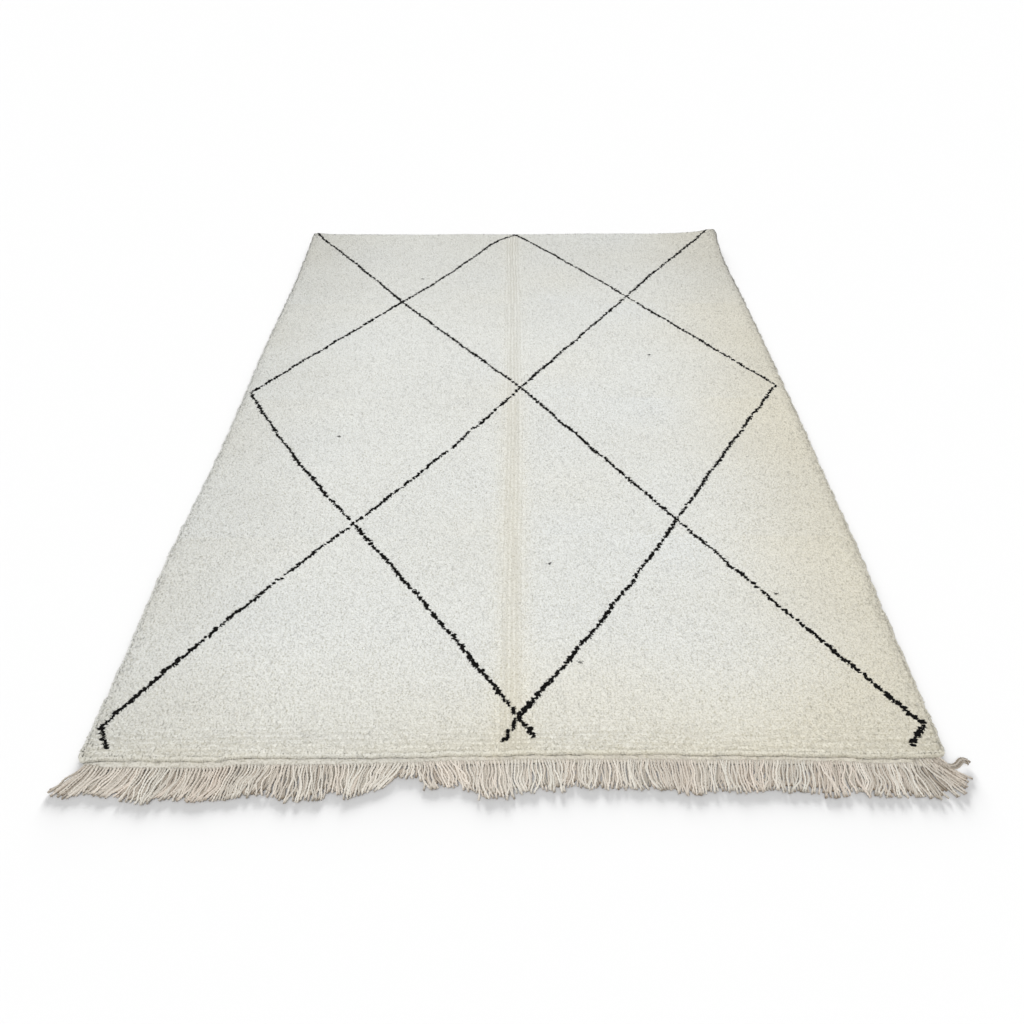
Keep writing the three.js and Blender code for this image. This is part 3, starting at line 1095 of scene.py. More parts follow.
    def tufts(self, knots: Knots, sides: int, width: float, seed: int) -> Buds:
        """Turns knots into buds of pile that stand up from the ground, nodding towards the near end.

        Tips lie lower in the worn fold, in partings and where the pile leans out over the sides, and partings
        are darkened with painted shade. Roughness, which is greatest at the fringed end, spreads their
        heights and shades, and noise drawn out across the sides and along the fold streaks them.

        Args:
            knots: the knots.
            sides: how many sides each bud has.
            width: how wide a bud is across the rug for its length along it.
            seed: picks the small differences between buds.

        Returns:
            The buds.
        """
        rng = np.random.default_rng(seed)
        x, y, count = knots.x, knots.y, len(knots.x)
        worn = self.wear.fold(x) ** 2
        near = 1 - self.rough_fades.at(y - self.plan.shift[1])
        usual, rougher = self.rough
        rough = usual + rougher * near
        off, strength = self.parting(x, y)
        parting = strength * np.exp(-((off / self.parting_half) ** 2))
        ground = self.plan.lumps(x, y) + self.plan.lift(x, y)
        in_fold, in_parting, at_random = self.lower_mm
        lower_mm = in_fold * worn + in_parting * parting + at_random * rough * rng.uniform(-1, 1, count)
        splay = self.splay(x, y)
        height = self.plan.top + ground - lower_mm * MM - self.side_drop * splay**2
        nod = np.stack([rng.uniform(least, most, count) for least, most in self.nod_mm], -1) * MM
        nod[:, 0] += self.side_nod * splay
        tip = np.column_stack([x + nod[:, 0], y + nod[:, 1], height])
        root = np.column_stack([x, y, height - self.depth])
        size = rng.uniform(*self.tuft_range, count) * self.tuft_mm * MM
        flat = self.flatten[0] * near + self.flatten[1] * np.abs(splay)
        across = width * size * (1 - self.fold_narrows * worn + flat)
        along = size / width * (1 - self.parting_shortens * parting - flat)
        streaky, dark = self.side_streaks
        streaks = np.abs(splay) * (streaky * soft_noise(x, y, (0.09, 0.0065), self.seed + 7) - dark)
        streaks = streaks + self.fold_streaks * worn * soft_noise(x, y, (0.007, 0.35), self.seed + 8)
        tint = self.wear.tint(x, y) + self.uneven * rough * rng.uniform(-1, 1, count)
        # Painted shade darkens the partings between rows.
        tint = tint - self.parting_painted_shade * parting + streaks
        side, half = np.array([1.0, 0.0, 0.0]), np.stack([across, along], -1)
        turn = rng.uniform(0, math.tau, count)
        return Buds(root, tip, side, half, turn, tint, self.wear.warmth(x, y), sides)

    def spikes(
        self, x: Grid, y: Grid, each: int, seed: int, stout: float = 1.0, over: float = 0.0
    ) -> Buds:
        """Thin stray ends of dark yarn that lie over the neighbouring pile, most of them sideways.

        Args:
            x: places across that they grow from.
            y: places along.
            each: how many grow from one place.
            seed: picks their directions and lengths.
            stout: how thick they are, as a share of the usual.
            over: how much higher than usual they lie.

        Returns:
            The ends.
        """
        rng = np.random.default_rng(seed)
        x, y = np.repeat(x, each), np.repeat(y, each)
        count = len(x)
        top = self.plan.top + self.plan.lumps(x, y) + self.plan.lift(x, y)
        way = rng.normal(0, self.spike_aim, count) + np.where(rng.random(count) < 0.5, 0.0, math.pi)
        reach = rng.uniform(*self.spike_mm, count) * MM
        root = np.column_stack([x, y, top - 1.6 * MM + over])
        height = top + over + rng.uniform(-0.5, 0.6, count) * MM
        tip = np.column_stack([x + reach * np.cos(way), y + reach * np.sin(way), height])
        half = stout * rng.uniform(*self.spike_half_mm, (count, 2)) * MM
        turn = rng.uniform(0, math.tau, count)
        tint = rng.uniform(0, 1, count)
        return Buds(root, tip, np.array([0.0, 0.0, 1.0]), half, turn, tint, np.zeros(count))

    def rim(self, edge: Edge) -> list[Buds]:
        """The outermost pile along one edge, in storeys that fan out over it.

        At the fringed end the tufts stand steeper and wider, follow the waver of its foot, and lower storeys
        are darker with painted shade, as under an overhang.

        Args:
            edge: the edge.

        Returns:
            The buds of each storey.
        """
        rng = np.random.default_rng(self.seed + 40 + list(Edge).index(edge))
        is_near = edge is Edge.NEAR
        upright = edge in (Edge.LEFT, Edge.RIGHT)
        steps = round((self.plan.length if upright else self.plan.width) / self.rim_pitch)
        flat = np.full(steps, 0.0 if edge in (Edge.LEFT, Edge.NEAR) else 1.0)
        storeys, loose = (self.near_storeys_mm, 0.7) if is_near else (self.storeys_mm, 1.5)
        sizes_mm = (5.8, 4.6) if is_near else (3.6, 5.0)
        side = np.array([1.0, 0.0, 0.0] if is_near else [0.0, 0.0, 1.0])
        top_mm = self.plan.top / MM
        made = []
        for root_out, root_z, tip_out, tip_z, shade in storeys:
            walk = (np.arange(steps) + 0.5 + rng.uniform(-0.4, 0.4, steps)) / steps
            p, q = (flat, walk) if upright else (walk, flat)
            root_x, root_y = self.plan.place(p, q, root_out * MM)
            outline, beyond = (np.array(self.plan.place(p, q, out * MM)) for out in (0.0, 10.0))
            lean = self.rim_lean_mm * soft_noise(walk * 2.5, walk * 0, (0.017, 1.0), self.seed + 60)
            lean = lean + loose * rng.uniform(-1, 1, steps)
            tip_x, tip_y = outline + (beyond - outline) * (tip_out + lean) / 10
            if is_near:
                root_y, tip_y = root_y + self.plan.waver(root_x), tip_y + self.plan.waver(tip_x)
            lift = self.plan.lift(root_x, root_y) + self.plan.lumps(root_x, root_y) * tip_z / top_mm
            tip_height = tip_z * MM + lift + rng.uniform(-0.8, 0.8, steps) * MM
            root = np.column_stack([root_x, root_y, root_z * MM + lift])
            tip = np.column_stack([tip_x, tip_y, tip_height])
            size = rng.uniform(0.85, 1.15, steps) * MM
            half = np.stack([length * size for length in sizes_mm], -1)
            # Painted shade: lower storeys at the fringed end are darker, as under the pile's overhang.
            tint = self.wear.tint(root_x, root_y) + rng.uniform(-0.12, 0.12, steps) - shade
            turn = rng.uniform(0, math.tau, steps)
            made.append(Buds(root, tip, side, half, turn, tint, self.wear.warmth(root_x, root_y), 4))
        return made

    def build_cream(self, finish: bpy.types.Material) -> list[bpy.types.Object]:
        """Builds the cream strips, from the near end to the far one, and the rim.

        Args:
            finish: the cream wool.

        Returns:
            The pieces.
        """
        knots = self.knots()
        cream = ~self.lattice.is_dark(knots.x, knots.y, self.seed + 2)
        made = []
        for number in range(self.strips):
            wanted = knots.where((knots.strip == number) & cream)
            buds = self.tufts(wanted, 3, 1.0, self.seed + 10 + number)
            made.append(buds.yarn().piece(f"cream_pile_{number + 1}", finish))
        rim = [buds.yarn() for edge in Edge for buds in self.rim(edge)]
        made.append(Yarn.joined(rim).piece("cream_pile_rim", finish))
        return made

    def build_black(self, finish: bpy.types.Material) -> bpy.types.Object:
        """Builds the lattice, with its stray ends and the few stray specks in the field.

        Args:
            finish: the black wool.

        Returns:
            The piece.
        """
        knots = self.knots()
        dark = knots.where(self.lattice.is_dark(knots.x, knots.y, self.seed + 2))
        shares = np.array(self.lattice.specks).T
        specks = np.repeat(self.plan.place((shares[0] + 1) / 2, shares[1]), 10, axis=1)
        specks = specks + np.random.default_rng(self.seed + 3).normal(0, 2.6, specks.shape) * MM
        buds = [
            self.tufts(dark, 5, 1.1, self.seed + 20),
            self.spikes(dark.x, dark.y, 4, self.seed + 21),
            self.spikes(*specks, 1, self.seed + 22, 0.65, 1.6 * MM),
        ]
        return Yarn.joined([part.yarn() for part in buds]).piece("black_lattice_pile", finish)


# --------------------------------------------------------------------------------------------------------
# The woven end and the fringe
# --------------------------------------------------------------------------------------------------------


@dataclass
class WovenEnd:
    """The flat-woven end: a weft-faced band whose wefts ride over the warps as small ribs.

    Attributes:
        plan: the rug's plan.
        wear: the fields that shade it.
        reach: how far the band stands out from the pile.
        thickness: its thickness.
        tuck: how far it runs in under the pile.
        warp_pitch: from warp to warp.
        weft_pitch: from weft to weft.
        rib: how far a weft rises over a warp.
        margin: the share of the field's width that the band leaves free at each side.
        sections_mm: how far out from the pile the points of its section lie.
        edge_waver: how far its front edge wavers.
        edge_share: how thick it is at that edge, as a share of its thickness.
        groove_out: how far out the groove lies that parts it from the pile, and how far it strays.
        groove_half: the groove's half width.
        groove_depth: the groove's depth.
        groove_painted_shade: how dark the painted shade in the groove is, and how far that comes and goes.
        clean: its tint, and how far that comes and goes.
    """

    plan: RugPlan
    wear: Wear
    reach: float = 21 * MM
    thickness: float = 5 * MM
    tuck: float = 5.7 * MM
    warp_pitch: float = 7.2 * MM
    weft_pitch: float = 3.4 * MM
    rib: float = 0.5 * MM
    margin: float = 1 / 130
    sections_mm: tuple[float, ...] = (
        -5.7, -2.6, -1.0, 0.0, 0.8, 1.6, 2.6, 4.2, 6.8, 9.6, 12.4, 15.2, 18.0, 21.0,
    )
    edge_waver: float = 0.6 * MM
    edge_share: float = 0.62
    groove_out: tuple[float, float] = (0.9 * MM, 0.5 * MM)
    groove_half: float = 1.2 * MM
    groove_depth: float = 1.5 * MM
    groove_painted_shade: tuple[float, float] = (0.44, 0.34)
    clean: tuple[float, float] = (0.83, 0.15)

    def front(self, x: Grid) -> Grid:
        """Where the band's front edge lies, at places across the rug."""
        p = (x - self.plan.shift[0]) / self.plan.width + 0.5
        return self.plan.place(p, np.zeros_like(p))[1] - self.reach

    def ends(self) -> tuple[float, float]:
        """The places across at which the band starts and stops."""
        x, _ = self.plan.place(np.array([self.margin, 1 - self.margin]), np.zeros(2))
        return float(x[0]), float(x[1])

    def build(self, finish: bpy.types.Material) -> bpy.types.Object:
        """Builds the band as a closed section carried across the rug.

        The top's height is the thickness plus the rib times the product of two waves, one with a warp's
        pitch along the band and one with a weft's pitch across it. A groove, which falls off as a bell
        curve to each side, parts the band from the foot of the pile and is darkened with painted shade.

        Args:
            finish: the wool of the wefts.

        Returns:
            The piece.
        """
        stations = round(self.plan.width / self.warp_pitch * 2.6)
        x = np.linspace(*self.ends(), stations)
        out = np.array(self.sections_mm) * MM
        share = (out + self.tuck) / (self.reach + self.tuck)
        back = self.front(x) + self.reach + self.tuck
        front = self.front(x) + self.edge_waver * np.sin(x / 0.0171) * np.sin(x / 0.0063)
        y = back[:, None] + (front - back)[:, None] * share
        warp = np.sin(math.pi * x / self.warp_pitch)[:, None]
        weft = np.sin(math.pi * (out + self.tuck) / self.weft_pitch)
        z = self.thickness - self.rib + self.rib * warp * weft
        z[:, -1] = self.thickness * self.edge_share
        groove_out, groove_stray = self.groove_out
        foot = groove_out + groove_stray * soft_noise(x, x * 0, (0.028, 1.0), 53) - self.plan.waver(x)
        groove = np.exp(-(((out - foot[:, None]) / self.groove_half) ** 2))
        z = z - self.groove_depth * groove
        zero = np.zeros((stations, 1))
        y = np.concatenate([y, front[:, None], back[:, None]], 1)
        z = np.concatenate([z, zero, zero], 1)
        rings = np.stack([np.broadcast_to(x[:, None], y.shape), y, z], -1)
        faces = tube_faces(stations, rings.shape[1])
        x_all, y_all = rings[..., 0].ravel(), rings[..., 1].ravel()
        # Painted shade: the groove under the pile's edge is darkened in broken dashes.
        dark, dashes = self.groove_painted_shade
        dashed = dark + dashes * soft_noise(x, x * 0, (0.009, 1.0), 54)[:, None]
        darkening = np.pad(dashed * groove, ((0, 0), (0, 2)))
        clean, mottle = self.clean
        tint = clean + mottle * soft_noise(x_all, y_all, (0.006, 0.0035), 51) - darkening.ravel()
        band = Yarn(rings.reshape(-1, 3), faces, tint, self.wear.warmth(x_all, y_all))
        return band.piece("woven_end", finish)


@dataclass(frozen=True)
class Lay:
    """How one layer of the fringe lies.

    Attributes:
        name: the piece's name.
        count: how many strings it has.
        plies: how many plies a string shows.
        ply_radius: the radius of one ply.
        helix_radius: how far a ply's middle lies off the string's.
        samples: how many rings a ply has.
        height: how high the middle of a string lies.
        reach: how far its strings reach, as a share of the sheaf's reach.
        blend: over how many strings to each side the sheaves are blended.
        swirl: how far smooth noise sends neighbouring strings aside together.
        stray_share: the share of its strings that leave their sheaf and lie across others.
        roots_back: how far the strings start behind the fringe's cover of the woven end, or ahead of it
            where below 0.
        clean: the least and the greatest tint of its strings.
        seed: picks the layer's noise.
    """

    name: str
    count: int
    plies: int
    ply_radius: float
    helix_radius: float
    samples: int
    height: float
    reach: float
    blend: int
    swirl: float
    stray_share: float
    roots_back: float
    clean: tuple[float, float]
    seed: int


@dataclass
class StringFringe:
    """The fringe: warps plied two by two into strings that lie on the floor in sheaves, some across others.

    Attributes:
        wear: the fields that shade it.
        woven: the woven end that the strings leave.
        twist_pitch: the length of one turn of the plies.
        sides: how many sides a ply has.
        clear: how far the outermost strings stand in from the woven end's left and right ends.
        stray: how far the tips of stray strings lie aside.
        wander: how far a string wanders aside in a slow wave of its own.
        kink: the same for a quick wave.
        root_taper: how thick a ply starts, as a share of its radius, and how far on it has its full radius.
        tip_length: how far before the tip plies start to part and to be grimy.
        tip_grime: the least and the greatest grime of a tip.
        root_painted_shade: how much painted shade darkens a string where it starts, and how far on that is
            gone.
        middle_light: how much cleaner strings are in the middle of the rug, and how wide that reaches.
        ends_dark: how strings grow darker towards the rug's corners.
        ply_uneven: how far the tints of plies differ.
        floor_gap: how far every ply stays off the floor.
        lays: the layers, from the floor up.
        cover_mm: rows of (place across in metres, millimetres) for how far the strings cover the woven end.
        sheaves_mm: rows of (from, to, sweep at each, reach at each, bend). Strings that start between the
            first two places across the rug sweep sideways and reach forwards so far, and a bend over 1
            keeps the sweep for the tips.
        curl_mm: places (across, behind the front edge, up) that the few strings curled up past the right
            end run through.
        curl_strings: rows of (share of that way, mm aside, mm up) for each of those strings.
        curl_clean: the least and the greatest tint of those strings.
    """

    wear: Wear
    woven: WovenEnd
    twist_pitch: float = 15 * MM
    sides: int = 4
    clear: tuple[float, float] = (7 * MM, 3 * MM)
    stray: float = 15 * MM
    wander: float = 2.0 * MM
    kink: float = 0.8 * MM
    root_taper: tuple[float, float] = (0.62, 8 * MM)
    tip_length: float = 7 * MM
    tip_grime: tuple[float, float] = (0.2, 0.7)
    root_painted_shade: tuple[float, float] = (0.10, 10 * MM)
    middle_light: tuple[float, float] = (0.08, 0.35)
    ends_dark: Fade = Fade(0.90, 0.06, 0.13)
    ply_uneven: float = 0.06
    floor_gap: float = 0.15 * MM
    lays: dict[Layer, Lay] = field(
        default_factory=lambda: {
            # The bed's strings are painted dark, as painted shade in the gaps between the strings lying over
            # them.
            Layer.BED: Lay(
                name="fringe_bed_strings", count=330, plies=1, ply_radius=2.9 * MM, helix_radius=0.0,
                samples=15, height=2.4 * MM, reach=0.86, blend=7, swirl=0.006, stray_share=0.0,
                roots_back=-4 * MM, clean=(0.32, 0.50), seed=71,
            ),
            Layer.MIDDLE: Lay(
                name="fringe_strings", count=258, plies=2, ply_radius=1.7 * MM, helix_radius=1.2 * MM,
                samples=23, height=4.2 * MM, reach=0.97, blend=1, swirl=0.009, stray_share=0.06,
                roots_back=0 * MM, clean=(0.55, 0.86), seed=31,
            ),
            Layer.UPPER: Lay(
                name="fringe_upper_strings", count=252, plies=2, ply_radius=1.7 * MM, helix_radius=1.2 * MM,
                samples=23, height=6.6 * MM, reach=1.0, blend=0, swirl=0.014, stray_share=0.16,
                roots_back=2 * MM, clean=(0.64, 1.0), seed=61,
            ),
        }
    )
    cover_mm: tuple[tuple[float, float], ...] = (
        (-1.0, 15), (-0.975, 12), (-0.95, 1), (-0.5, 2), (-0.1, 8), (0.3, 6), (0.55, 9), (0.92, 7),
        (0.945, 19), (1.0, 20),
    )
    sheaves_mm: tuple[tuple[float, ...], ...] = (
        (-1010, -975, -62, -52, 50, 70, 1.1),
        (-975, -940, -44, -46, 75, 64, 1.2),
        (-940, -860, -46, -34, 62, 73, 1.8),
        (-860, -800, -30, -18, 80, 90, 1.3),
        (-800, -730, -26, -32, 82, 74, 2.0),
        (-730, -640, -14, -22, 78, 88, 1.6),
        (-640, -560, -22, -30, 88, 78, 1.6),
        (-560, -520, -34, 4, 70, 86, 0.8),
        (-520, -435, 8, -4, 94, 86, 1.2),
        (-435, -365, 10, 0, 66, 74, 1.5),
        (-365, -262, -8, -46, 86, 55, 1.3),
        (-262, -224, -14, 12, 33, 40, 1.0),
        (-224, -135, 18, 34, 64, 54, 1.4),
        (-135, -80, 20, 8, 66, 71, 1.3),
        (-80, -15, 12, 10, 87, 91, 1.5),
        (-15, 45, 8, -10, 79, 74, 1.8),
        (45, 102, 20, 12, 68, 76, 1.2),
        (102, 182, 2, -8, 59, 65, 1.0),
        (182, 363, -4, 4, 70, 71, 1.0),
        (363, 432, 6, -12, 81, 79, 1.0),
        (432, 490, -14, -16, 74, 70, 1.0),
        (490, 550, -10, -18, 74, 68, 1.0),
        (550, 715, -18, -14, 69, 73, 1.3),
        (715, 765, -8, -16, 84, 80, 1.3),
        (765, 800, 4, 10, 70, 68, 1.0),
        (800, 875, -4, 4, 76, 78, 1.3),
        (875, 945, 2, 14, 76, 85, 1.4),
        (945, 1010, 53, 31, 83, 25, 1.1),
    )
    curl_mm: tuple[tuple[float, float, float], ...] = (
        (975, 11, 5), (990, 3, 6), (1004, -5, 6), (1018, -7, 7), (1030, 0, 8), (1038, 9, 9), (1048, 11, 7),
        (1059, 4, 5),
    )
    curl_strings: tuple[tuple[float, float, float], ...] = (
        (0.93, -5.6, 0.0), (1.0, -1.9, 2.0), (0.95, 1.9, -0.6), (0.98, 5.6, 1.6),
    )
    curl_clean: tuple[float, float] = (0.26, 0.70)

    @staticmethod
    def wave(rng: np.random.Generator, s: Grid, turns: tuple[float, float]) -> Grid:
        """A sine wave along each string, which turns so many radians and starts anywhere."""
        size = (len(s), 1)
        return np.sin(rng.uniform(*turns, size) * s + rng.uniform(0, math.tau, size))

    def paths(self, lay: Lay) -> Grid:
        """The middle line of each string of a layer.

        A string runs forwards by its reach times its share of the way, and aside by its sweep times that
        share to the power of its bend, plus coarse and fine smooth noise and a wave of its own that grow
        along it. Stray strings also run straight aside, across their neighbours. A string comes off the
        woven end, falls to the height of its layer and ends on the floor.

        Args:
            lay: how the layer lies.

        Returns:
            Strings by samples by 3 places.
        """
        rng = np.random.default_rng(lay.seed)
        start, end = self.woven.ends()
        left, right = self.clear
        root = np.linspace(start + left, end - right, lay.count) + rng.uniform(-1.6, 1.6, lay.count) * MM
        table = np.array(self.sheaves_mm)
        mixed = 1.3 * lay.swirl * soft_noise(root, root * 0, (0.07, 1.0), lay.seed + 4)
        at = root - self.wear.plan.shift[0] + mixed
        row = np.clip(np.searchsorted(table[:, 1] * MM, at), 0, len(table) - 1)
        low, high, sweep_a, sweep_b, reach_a, reach_b = table[row, :6].T * MM
        t = np.clip((at - low) / (high - low), 0, 1)
        window = np.ones(2 * lay.blend + 1) / (2 * lay.blend + 1)
        sweep = np.convolve(np.pad(sweep_a + (sweep_b - sweep_a) * t, lay.blend, "edge"), window, "valid")
        reach = (reach_a + (reach_b - reach_a) * t) * lay.reach + rng.uniform(-5, 3, lay.count) * MM
        bend = (table[row, 6] * rng.uniform(0.9, 1.15, lay.count))[:, None]
        s = np.broadcast_to(np.linspace(0.0, 1.0, lay.samples), (lay.count, lay.samples))
        across = np.broadcast_to(root[:, None], s.shape)
        coarse = lay.swirl * soft_noise(across, s, (0.036, 0.5), lay.seed + 1) * s
        fine = 0.45 * lay.swirl * soft_noise(across, s, (0.013, 0.3), lay.seed + 2) * np.sqrt(s)
        own = self.wander * self.wave(rng, s, (3, 9)) + self.kink * self.wave(rng, s, (11, 19))
        is_stray = rng.random(lay.count) < lay.stray_share
        stray = np.where(is_stray, rng.normal(0, self.stray, lay.count), 0.0)[:, None]
        x = across + sweep[:, None] * s**bend + coarse + fine + own * np.sqrt(s) + stray * s
        is_over = lay.roots_back >= 0
        cover = read_table(self.cover_mm, root - self.wear.plan.shift[0]) * MM
        back = (lay.roots_back + cover * is_over)[:, None]
        ahead = (reach[:, None] + back) * s - back * rng.uniform(0.7, 1.0, (lay.count, 1))
        y = self.woven.front(root)[:, None] - ahead
        girth = lay.ply_radius + lay.helix_radius
        wave = self.wave(rng, s, (4, 7))
        level = lay.height + (lay.helix_radius > 0) * rng.uniform(-1.2, 1.2, (lay.count, 1)) * MM
        lying = level + 0.8 * MM * wave - (level - girth) * 0.75 * s**3
        rooted = self.woven.thickness + 0.4 * girth if is_over else lay.height
        z = rooted + (lying - rooted) * ease((ahead + 1 * MM) / (8 * MM))
        return np.stack([x, y, z], -1)

    def curl(self, lay: Lay) -> Grid:
        """The few strings curled up past the right end, side by side and of unequal length.

        Args:
            lay: the layer whose strings they are like.

        Returns:
            Strings by samples by 3 places.
        """
        way = np.array(self.curl_mm) * MM
        walk = np.concatenate([[0], np.cumsum(np.linalg.norm(np.diff(way, axis=0), axis=1))])
        share, offset, height = (column[:, None] for column in np.array(self.curl_strings).T)
        s = walk[-1] * share * np.linspace(0, 1, lay.samples)
        line = np.stack([np.interp(s, walk, way[:, k]) for k in range(3)], -1)
        line[:, 1:-1] = (line[:, :-2] + 2 * line[:, 1:-1] + line[:, 2:]) / 4
        line[..., 0] += self.wear.plan.shift[0]
        line[..., 1] += self.woven.front(np.array([self.woven.ends()[1]]))[0]
        aside = unit(np.cross(np.gradient(line, axis=1), [0.0, 0.0, 1.0]))
        up = height[..., None] * MM * np.array([0.0, 0.0, 1.0])
        return line + offset[..., None] * MM * aside + up

    def spin(self, lay: Lay, path: Grid) -> Yarn:
        """Spins plies round each path of a layer.

        A ply's middle lies off the string's by the helix radius, at an angle that grows by one turn each
        twist pitch, and its sides are a ring round that middle. Plies are thin at the root, where painted
        shade darkens them, and part at the tip, where they are grimy. Strings are cleanest in the middle of
        the rug and dark at its ends.

        Args:
            lay: how the layer lies.
            path: strings by samples by 3 places.

        Returns:
            The strings.
        """
        rng = np.random.default_rng(lay.seed + 5)
        strings, samples, _ = path.shape
        step = np.gradient(path, axis=1)
        length = np.cumsum(np.linalg.norm(step, axis=-1), 1)
        along = unit(step)
        side = unit(np.cross([0.0, 0.0, 1.0], along))
        up = np.cross(along, side)
        turn = math.tau * length / self.twist_pitch + rng.uniform(0, math.tau, (strings, 1))
        ply_turn = (turn[:, None] + (np.arange(lay.plies) * math.pi)[None, :, None])[..., None]
        thin, filled = self.root_taper
        from_root = thin + (1 - thin) * np.clip(length / filled, 0, 1)[:, None]
        to_tip = np.clip((length[:, -1:] - length) / self.tip_length, 0, 1)[:, None]
        helix = (lay.helix_radius * from_root * (1.2 - 0.2 * to_tip))[..., None]
        middle = path[:, None] + helix * (np.cos(ply_turn) * side[:, None] + np.sin(ply_turn) * up[:, None])
        fat = lay.ply_radius * from_root * rng.uniform(0.9, 1.1, (strings, 1, 1))
        points = middle[..., None, :] + fat[..., None, None] * self.rings(side, up)[:, None]
        points[..., 2] = np.maximum(points[..., 2], self.floor_gap)
        size = samples * self.sides
        first = np.arange(strings * lay.plies) * size
        faces = tube_faces(samples, self.sides)[None] + first[:, None, None]
        # Painted shade at the root, where a string leaves the woven end; grime at the tip.
        root_painted_shade, gone = self.root_painted_shade
        at_root = root_painted_shade * (1 - np.clip(length / gone, 0, 1))[:, None]
        darkening = rng.uniform(*self.tip_grime, (strings, 1, 1)) * (1 - to_tip) + at_root
        root = path[:, 0, 0]
        lighter, wide = self.middle_light
        light = lighter * np.exp(-((root / wide) ** 2)) - self.ends_dark.at(np.abs(root))
        light = light[:, None, None] - darkening
        uneven = (-self.ply_uneven, self.ply_uneven)
        clean = rng.uniform(*lay.clean, (strings, 1, 1))
        tint = clean + rng.uniform(*uneven, (strings, lay.plies, 1)) + light
        tone = 0.5 + 0.5 * soft_noise(root, root * 0, (0.045, 1.0), lay.seed + 6)
        warmth = np.broadcast_to(tone[:, None], (strings, lay.plies * size)).ravel()
        return Yarn(points.reshape(-1, 3), faces.reshape(-1, 3), np.repeat(tint.ravel(), self.sides), warmth)

    def rings(self, side: Grid, up: Grid) -> Grid:
        """The unit ring round each sample of each string, square to the string."""
        angle = ((np.arange(self.sides) + 0.5) * (math.tau / self.sides))[:, None]
        return np.cos(angle) * side[:, :, None] + np.sin(angle) * up[:, :, None]

    def build(self, finish: bpy.types.Material) -> list[bpy.types.Object]:
        """Builds the layers of strings, the curled ones with the uppermost.

        Args:
            finish: the wool of the warps.

        Returns:
            The pieces.
        """
        made = []
        for layer, lay in self.lays.items():
            yarn = self.spin(lay, self.paths(lay))
            if layer is Layer.UPPER:
                curled = self.spin(replace(lay, clean=self.curl_clean), self.curl(lay))
                yarn = Yarn.joined([yarn, curled])
            made.append(yarn.piece(lay.name, finish))
        return made


# --------------------------------------------------------------------------------------------------------
# The studio
# --------------------------------------------------------------------------------------------------------


@dataclass(frozen=True)
class Sun:
    """A distant soft light.

    Attributes:
        name: its name.
        strength: how strong it is.
        width_deg: how wide it looks.
        way: the direction that it shines in.
    """

    name: str
    strength: float
    width_deg: float
    way: tuple[float, float, float]

    def build(self) -> bpy.types.Object:
        """Adds the light.

        Returns:
            The light.
        """
        light = bpy.data.lights.new(self.name, "SUN")
        light.energy = self.strength
        light.angle = math.radians(self.width_deg)
        lamp = bpy.data.objects.new(self.name, light)
        lamp.rotation_euler = Vector(self.way).to_track_quat("-Z", "Y").to_euler()
        bpy.context.collection.objects.link(lamp)
        return lamp


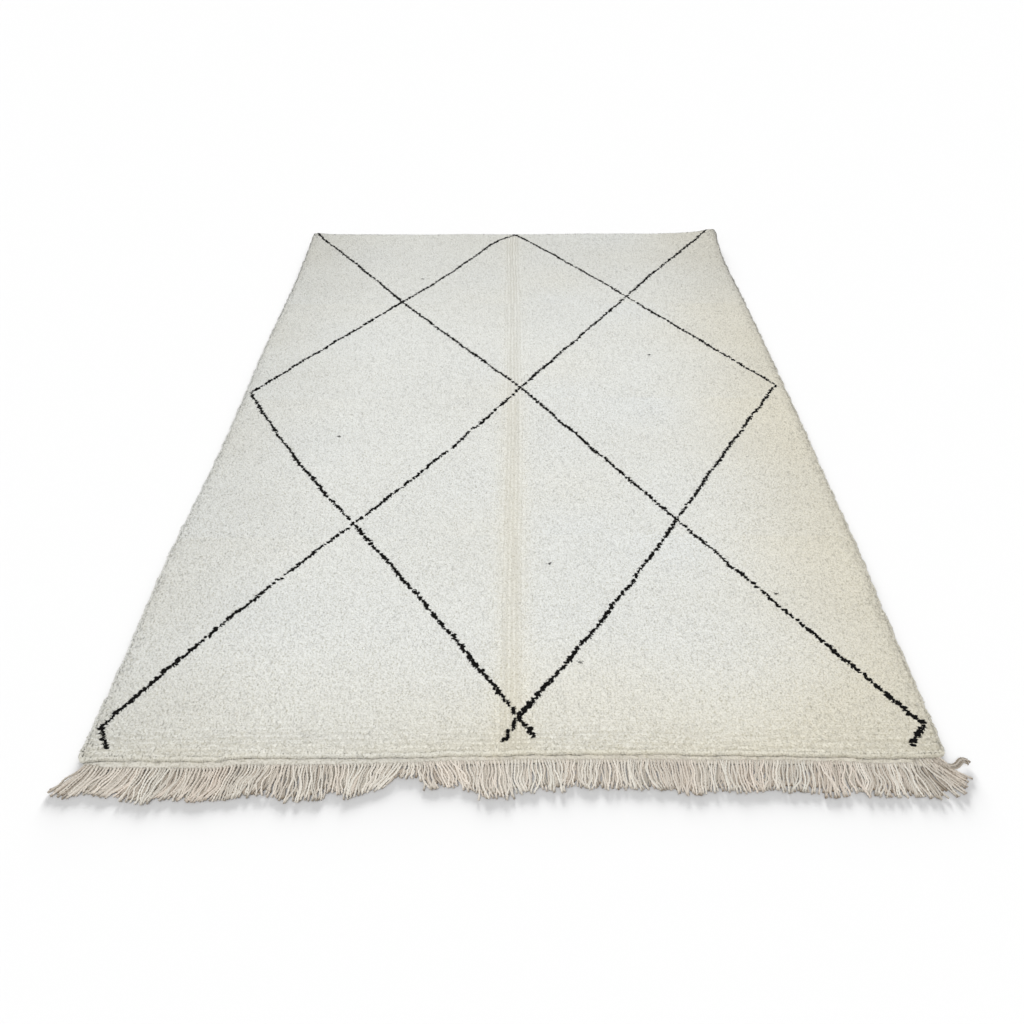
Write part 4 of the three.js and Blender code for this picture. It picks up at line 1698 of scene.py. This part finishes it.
@dataclass
class Studio:
    """A plain pale floor, soft light from all round with a broad key, and a camera held at standing height.

    Attributes:
        plan: the rug's plan, which the camera stands in front of.
        lens_mm: the camera's focal length.
        sensor_mm: the width of its sensor.
        pitch_down_deg: how far it looks down.
        eye_height: how high it stands.
        stand_off: how far it stands before the near edge.
        aside: how far it stands to the right of the rug's middle.
        surround: the strength of the white surround.
        key: the broad light from high in front.
        low_backs: the lights that shine low along the floor from behind, and on nothing else.
        floor_half: how far the floor reaches each way.
        floor_gap: how far it lies below the rug.
    """

    plan: RugPlan
    lens_mm: float = 29.39
    sensor_mm: float = 36.0
    pitch_down_deg: float = 40.93
    eye_height: float = 1.720
    stand_off: float = 1.095
    aside: float = -5.5 * MM
    surround: float = 0.63
    key: Sun = Sun("broad_key", 1.50, 50, (0.25, 0.55, -1.0))
    low_backs: tuple[Sun, ...] = (
        Sun("low_back_left", 12.5 / 3, 13, (-0.14, -1.0, -0.171)),
        Sun("low_back", 12.5 / 3, 13, (0.0, -1.0, -0.171)),
        Sun("low_back_right", 12.5 / 3, 13, (0.14, -1.0, -0.171)),
    )
    floor_half: float = 30.0
    floor_gap: float = 0.4 * MM

    def floor(self) -> bpy.types.Object:
        """Lays a plain pale floor, just under the rug.

        Returns:
            The floor.
        """
        # Matt paint without any gloss: an even pale grey that shows only the rug's soft shadow.
        paint = bpy.data.materials.new("pale_matt_paint")
        paint.use_nodes = True
        shader = paint.node_tree.nodes["Principled BSDF"]
        shader.inputs["Base Color"].default_value = srgb("c9c9c9")
        shader.inputs["Roughness"].default_value = 1.0
        shader.inputs["Specular IOR Level"].default_value = 0.0
        corners = np.array([[-1, -1], [1, -1], [1, 1], [-1, 1]]) * self.floor_half
        points = np.column_stack([corners, np.full(4, -self.floor_gap)])
        piece = Yarn(points, fan(4), np.ones(4), np.zeros(4)).piece("floor", paint)
        return piece

    def lights(self, floor: bpy.types.Object) -> None:
        """Lights the rug from all round and from high in front, and the floor from low behind as well.

        Args:
            floor: the floor, which alone takes the low lights.
        """
        world = bpy.data.worlds.new("white_surround")
        world.use_nodes = True
        background = world.node_tree.nodes["Background"].inputs
        background["Color"].default_value = (1.0, 1.0, 1.0, 1.0)
        background["Strength"].default_value = self.surround
        bpy.context.scene.world = world
        self.key.build()
        lit = bpy.data.collections.new("lit_by_low_back")
        lit.objects.link(floor)
        for sun in self.low_backs:
            sun.build().light_linking.receiver_collection = lit

    def camera(self) -> None:
        """Stands the camera in front of the fringed end, looking down along the rug."""
        lens = bpy.data.cameras.new("standing_view")
        lens.lens = self.lens_mm
        lens.sensor_width = self.sensor_mm
        camera = bpy.data.objects.new("standing_view", lens)
        across, along = self.plan.shift[0] + self.aside, self.plan.shift[1] - self.stand_off
        camera.location = (across, along, self.eye_height)
        camera.rotation_euler = (math.radians(90 - self.pitch_down_deg), 0.0, 0.0)
        bpy.context.collection.objects.link(camera)
        bpy.context.scene.camera = camera

    def build(self) -> None:
        """Builds the studio, with plain colours so that the wool keeps its own."""
        self.lights(self.floor())
        self.camera()
        bpy.context.scene.view_settings.view_transform = "Standard"


# --------------------------------------------------------------------------------------------------------
# Assembly
# --------------------------------------------------------------------------------------------------------


def put_in_place(pieces: Sequence[bpy.types.Object], node: str) -> None:
    """Rides some pieces on the body and hides the solid's node that they stand for.

    Args:
        pieces: the pieces.
        node: the solid's node that they stand for.
    """
    for piece in pieces:
        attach(piece, BODY)
        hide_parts(node)
        log.info("%s: %d triangles", piece.name, len(piece.data.polygons))


def main() -> None:
    """Builds the rug piece by piece, then the studio round it."""
    logging.basicConfig(level=logging.INFO, format="%(name)s %(message)s")
    plan = RugPlan()
    wear = Wear(plan)
    # Cut ends of soft undyed yarn: a chalky cream that takes light without gloss, greyer where it is grimy
    # and where shade is painted in: between yarn ends, on the ground below the tips, in partings and under
    # the fringed end's overhang.
    cream = Wool("undyed_cream_wool_cut_pile", "f4f4f2", "cfcdc7", "f9fbfb", "fbf7ea").make()
    # Cut ends of naturally dark fleece: nearly black, with hardly any sheen, so that lines stay crisp.
    black = Wool("natural_black_wool_cut_pile", "131211", "060606", sheen=0.02).make()
    # Wefts beaten close together: pale and flat, darkening to a grey-brown painted shade in the groove below
    # the pile.
    weft = Wool("undyed_cream_wool_flat_weave", "ecebe6", "6e6a61", "fbfcfb", "fbf6ed").make()
    # Hard twisted warp ends: warm beige, browner at the tips, with painted shade at the roots and on the bed
    # of strings beneath, and without painted cleft shade, since plies part them.
    warp = Wool("undyed_beige_wool_two_ply", "f3ede5", "877a6a", "f8fbf9", "fef9f4", painted_cleft_shade="ffffff").make()

    ground = PileGround(plan, wear).build(cream)
    pile = KnottedPile(plan, wear, DiamondLattice(plan))
    knots = pile.build_cream(cream)
    lattice = pile.build_black(black)
    woven = WovenEnd(plan, wear)
    end = [woven.build(weft), *StringFringe(wear, woven).build(warp)]
    put_in_place([ground, *knots], FIELD_NODE)
    put_in_place([lattice], FIELD_NODE)
    put_in_place(end, FRINGE_NODE)
    Studio(plan).build()


if __name__ == "__main__":
    main()
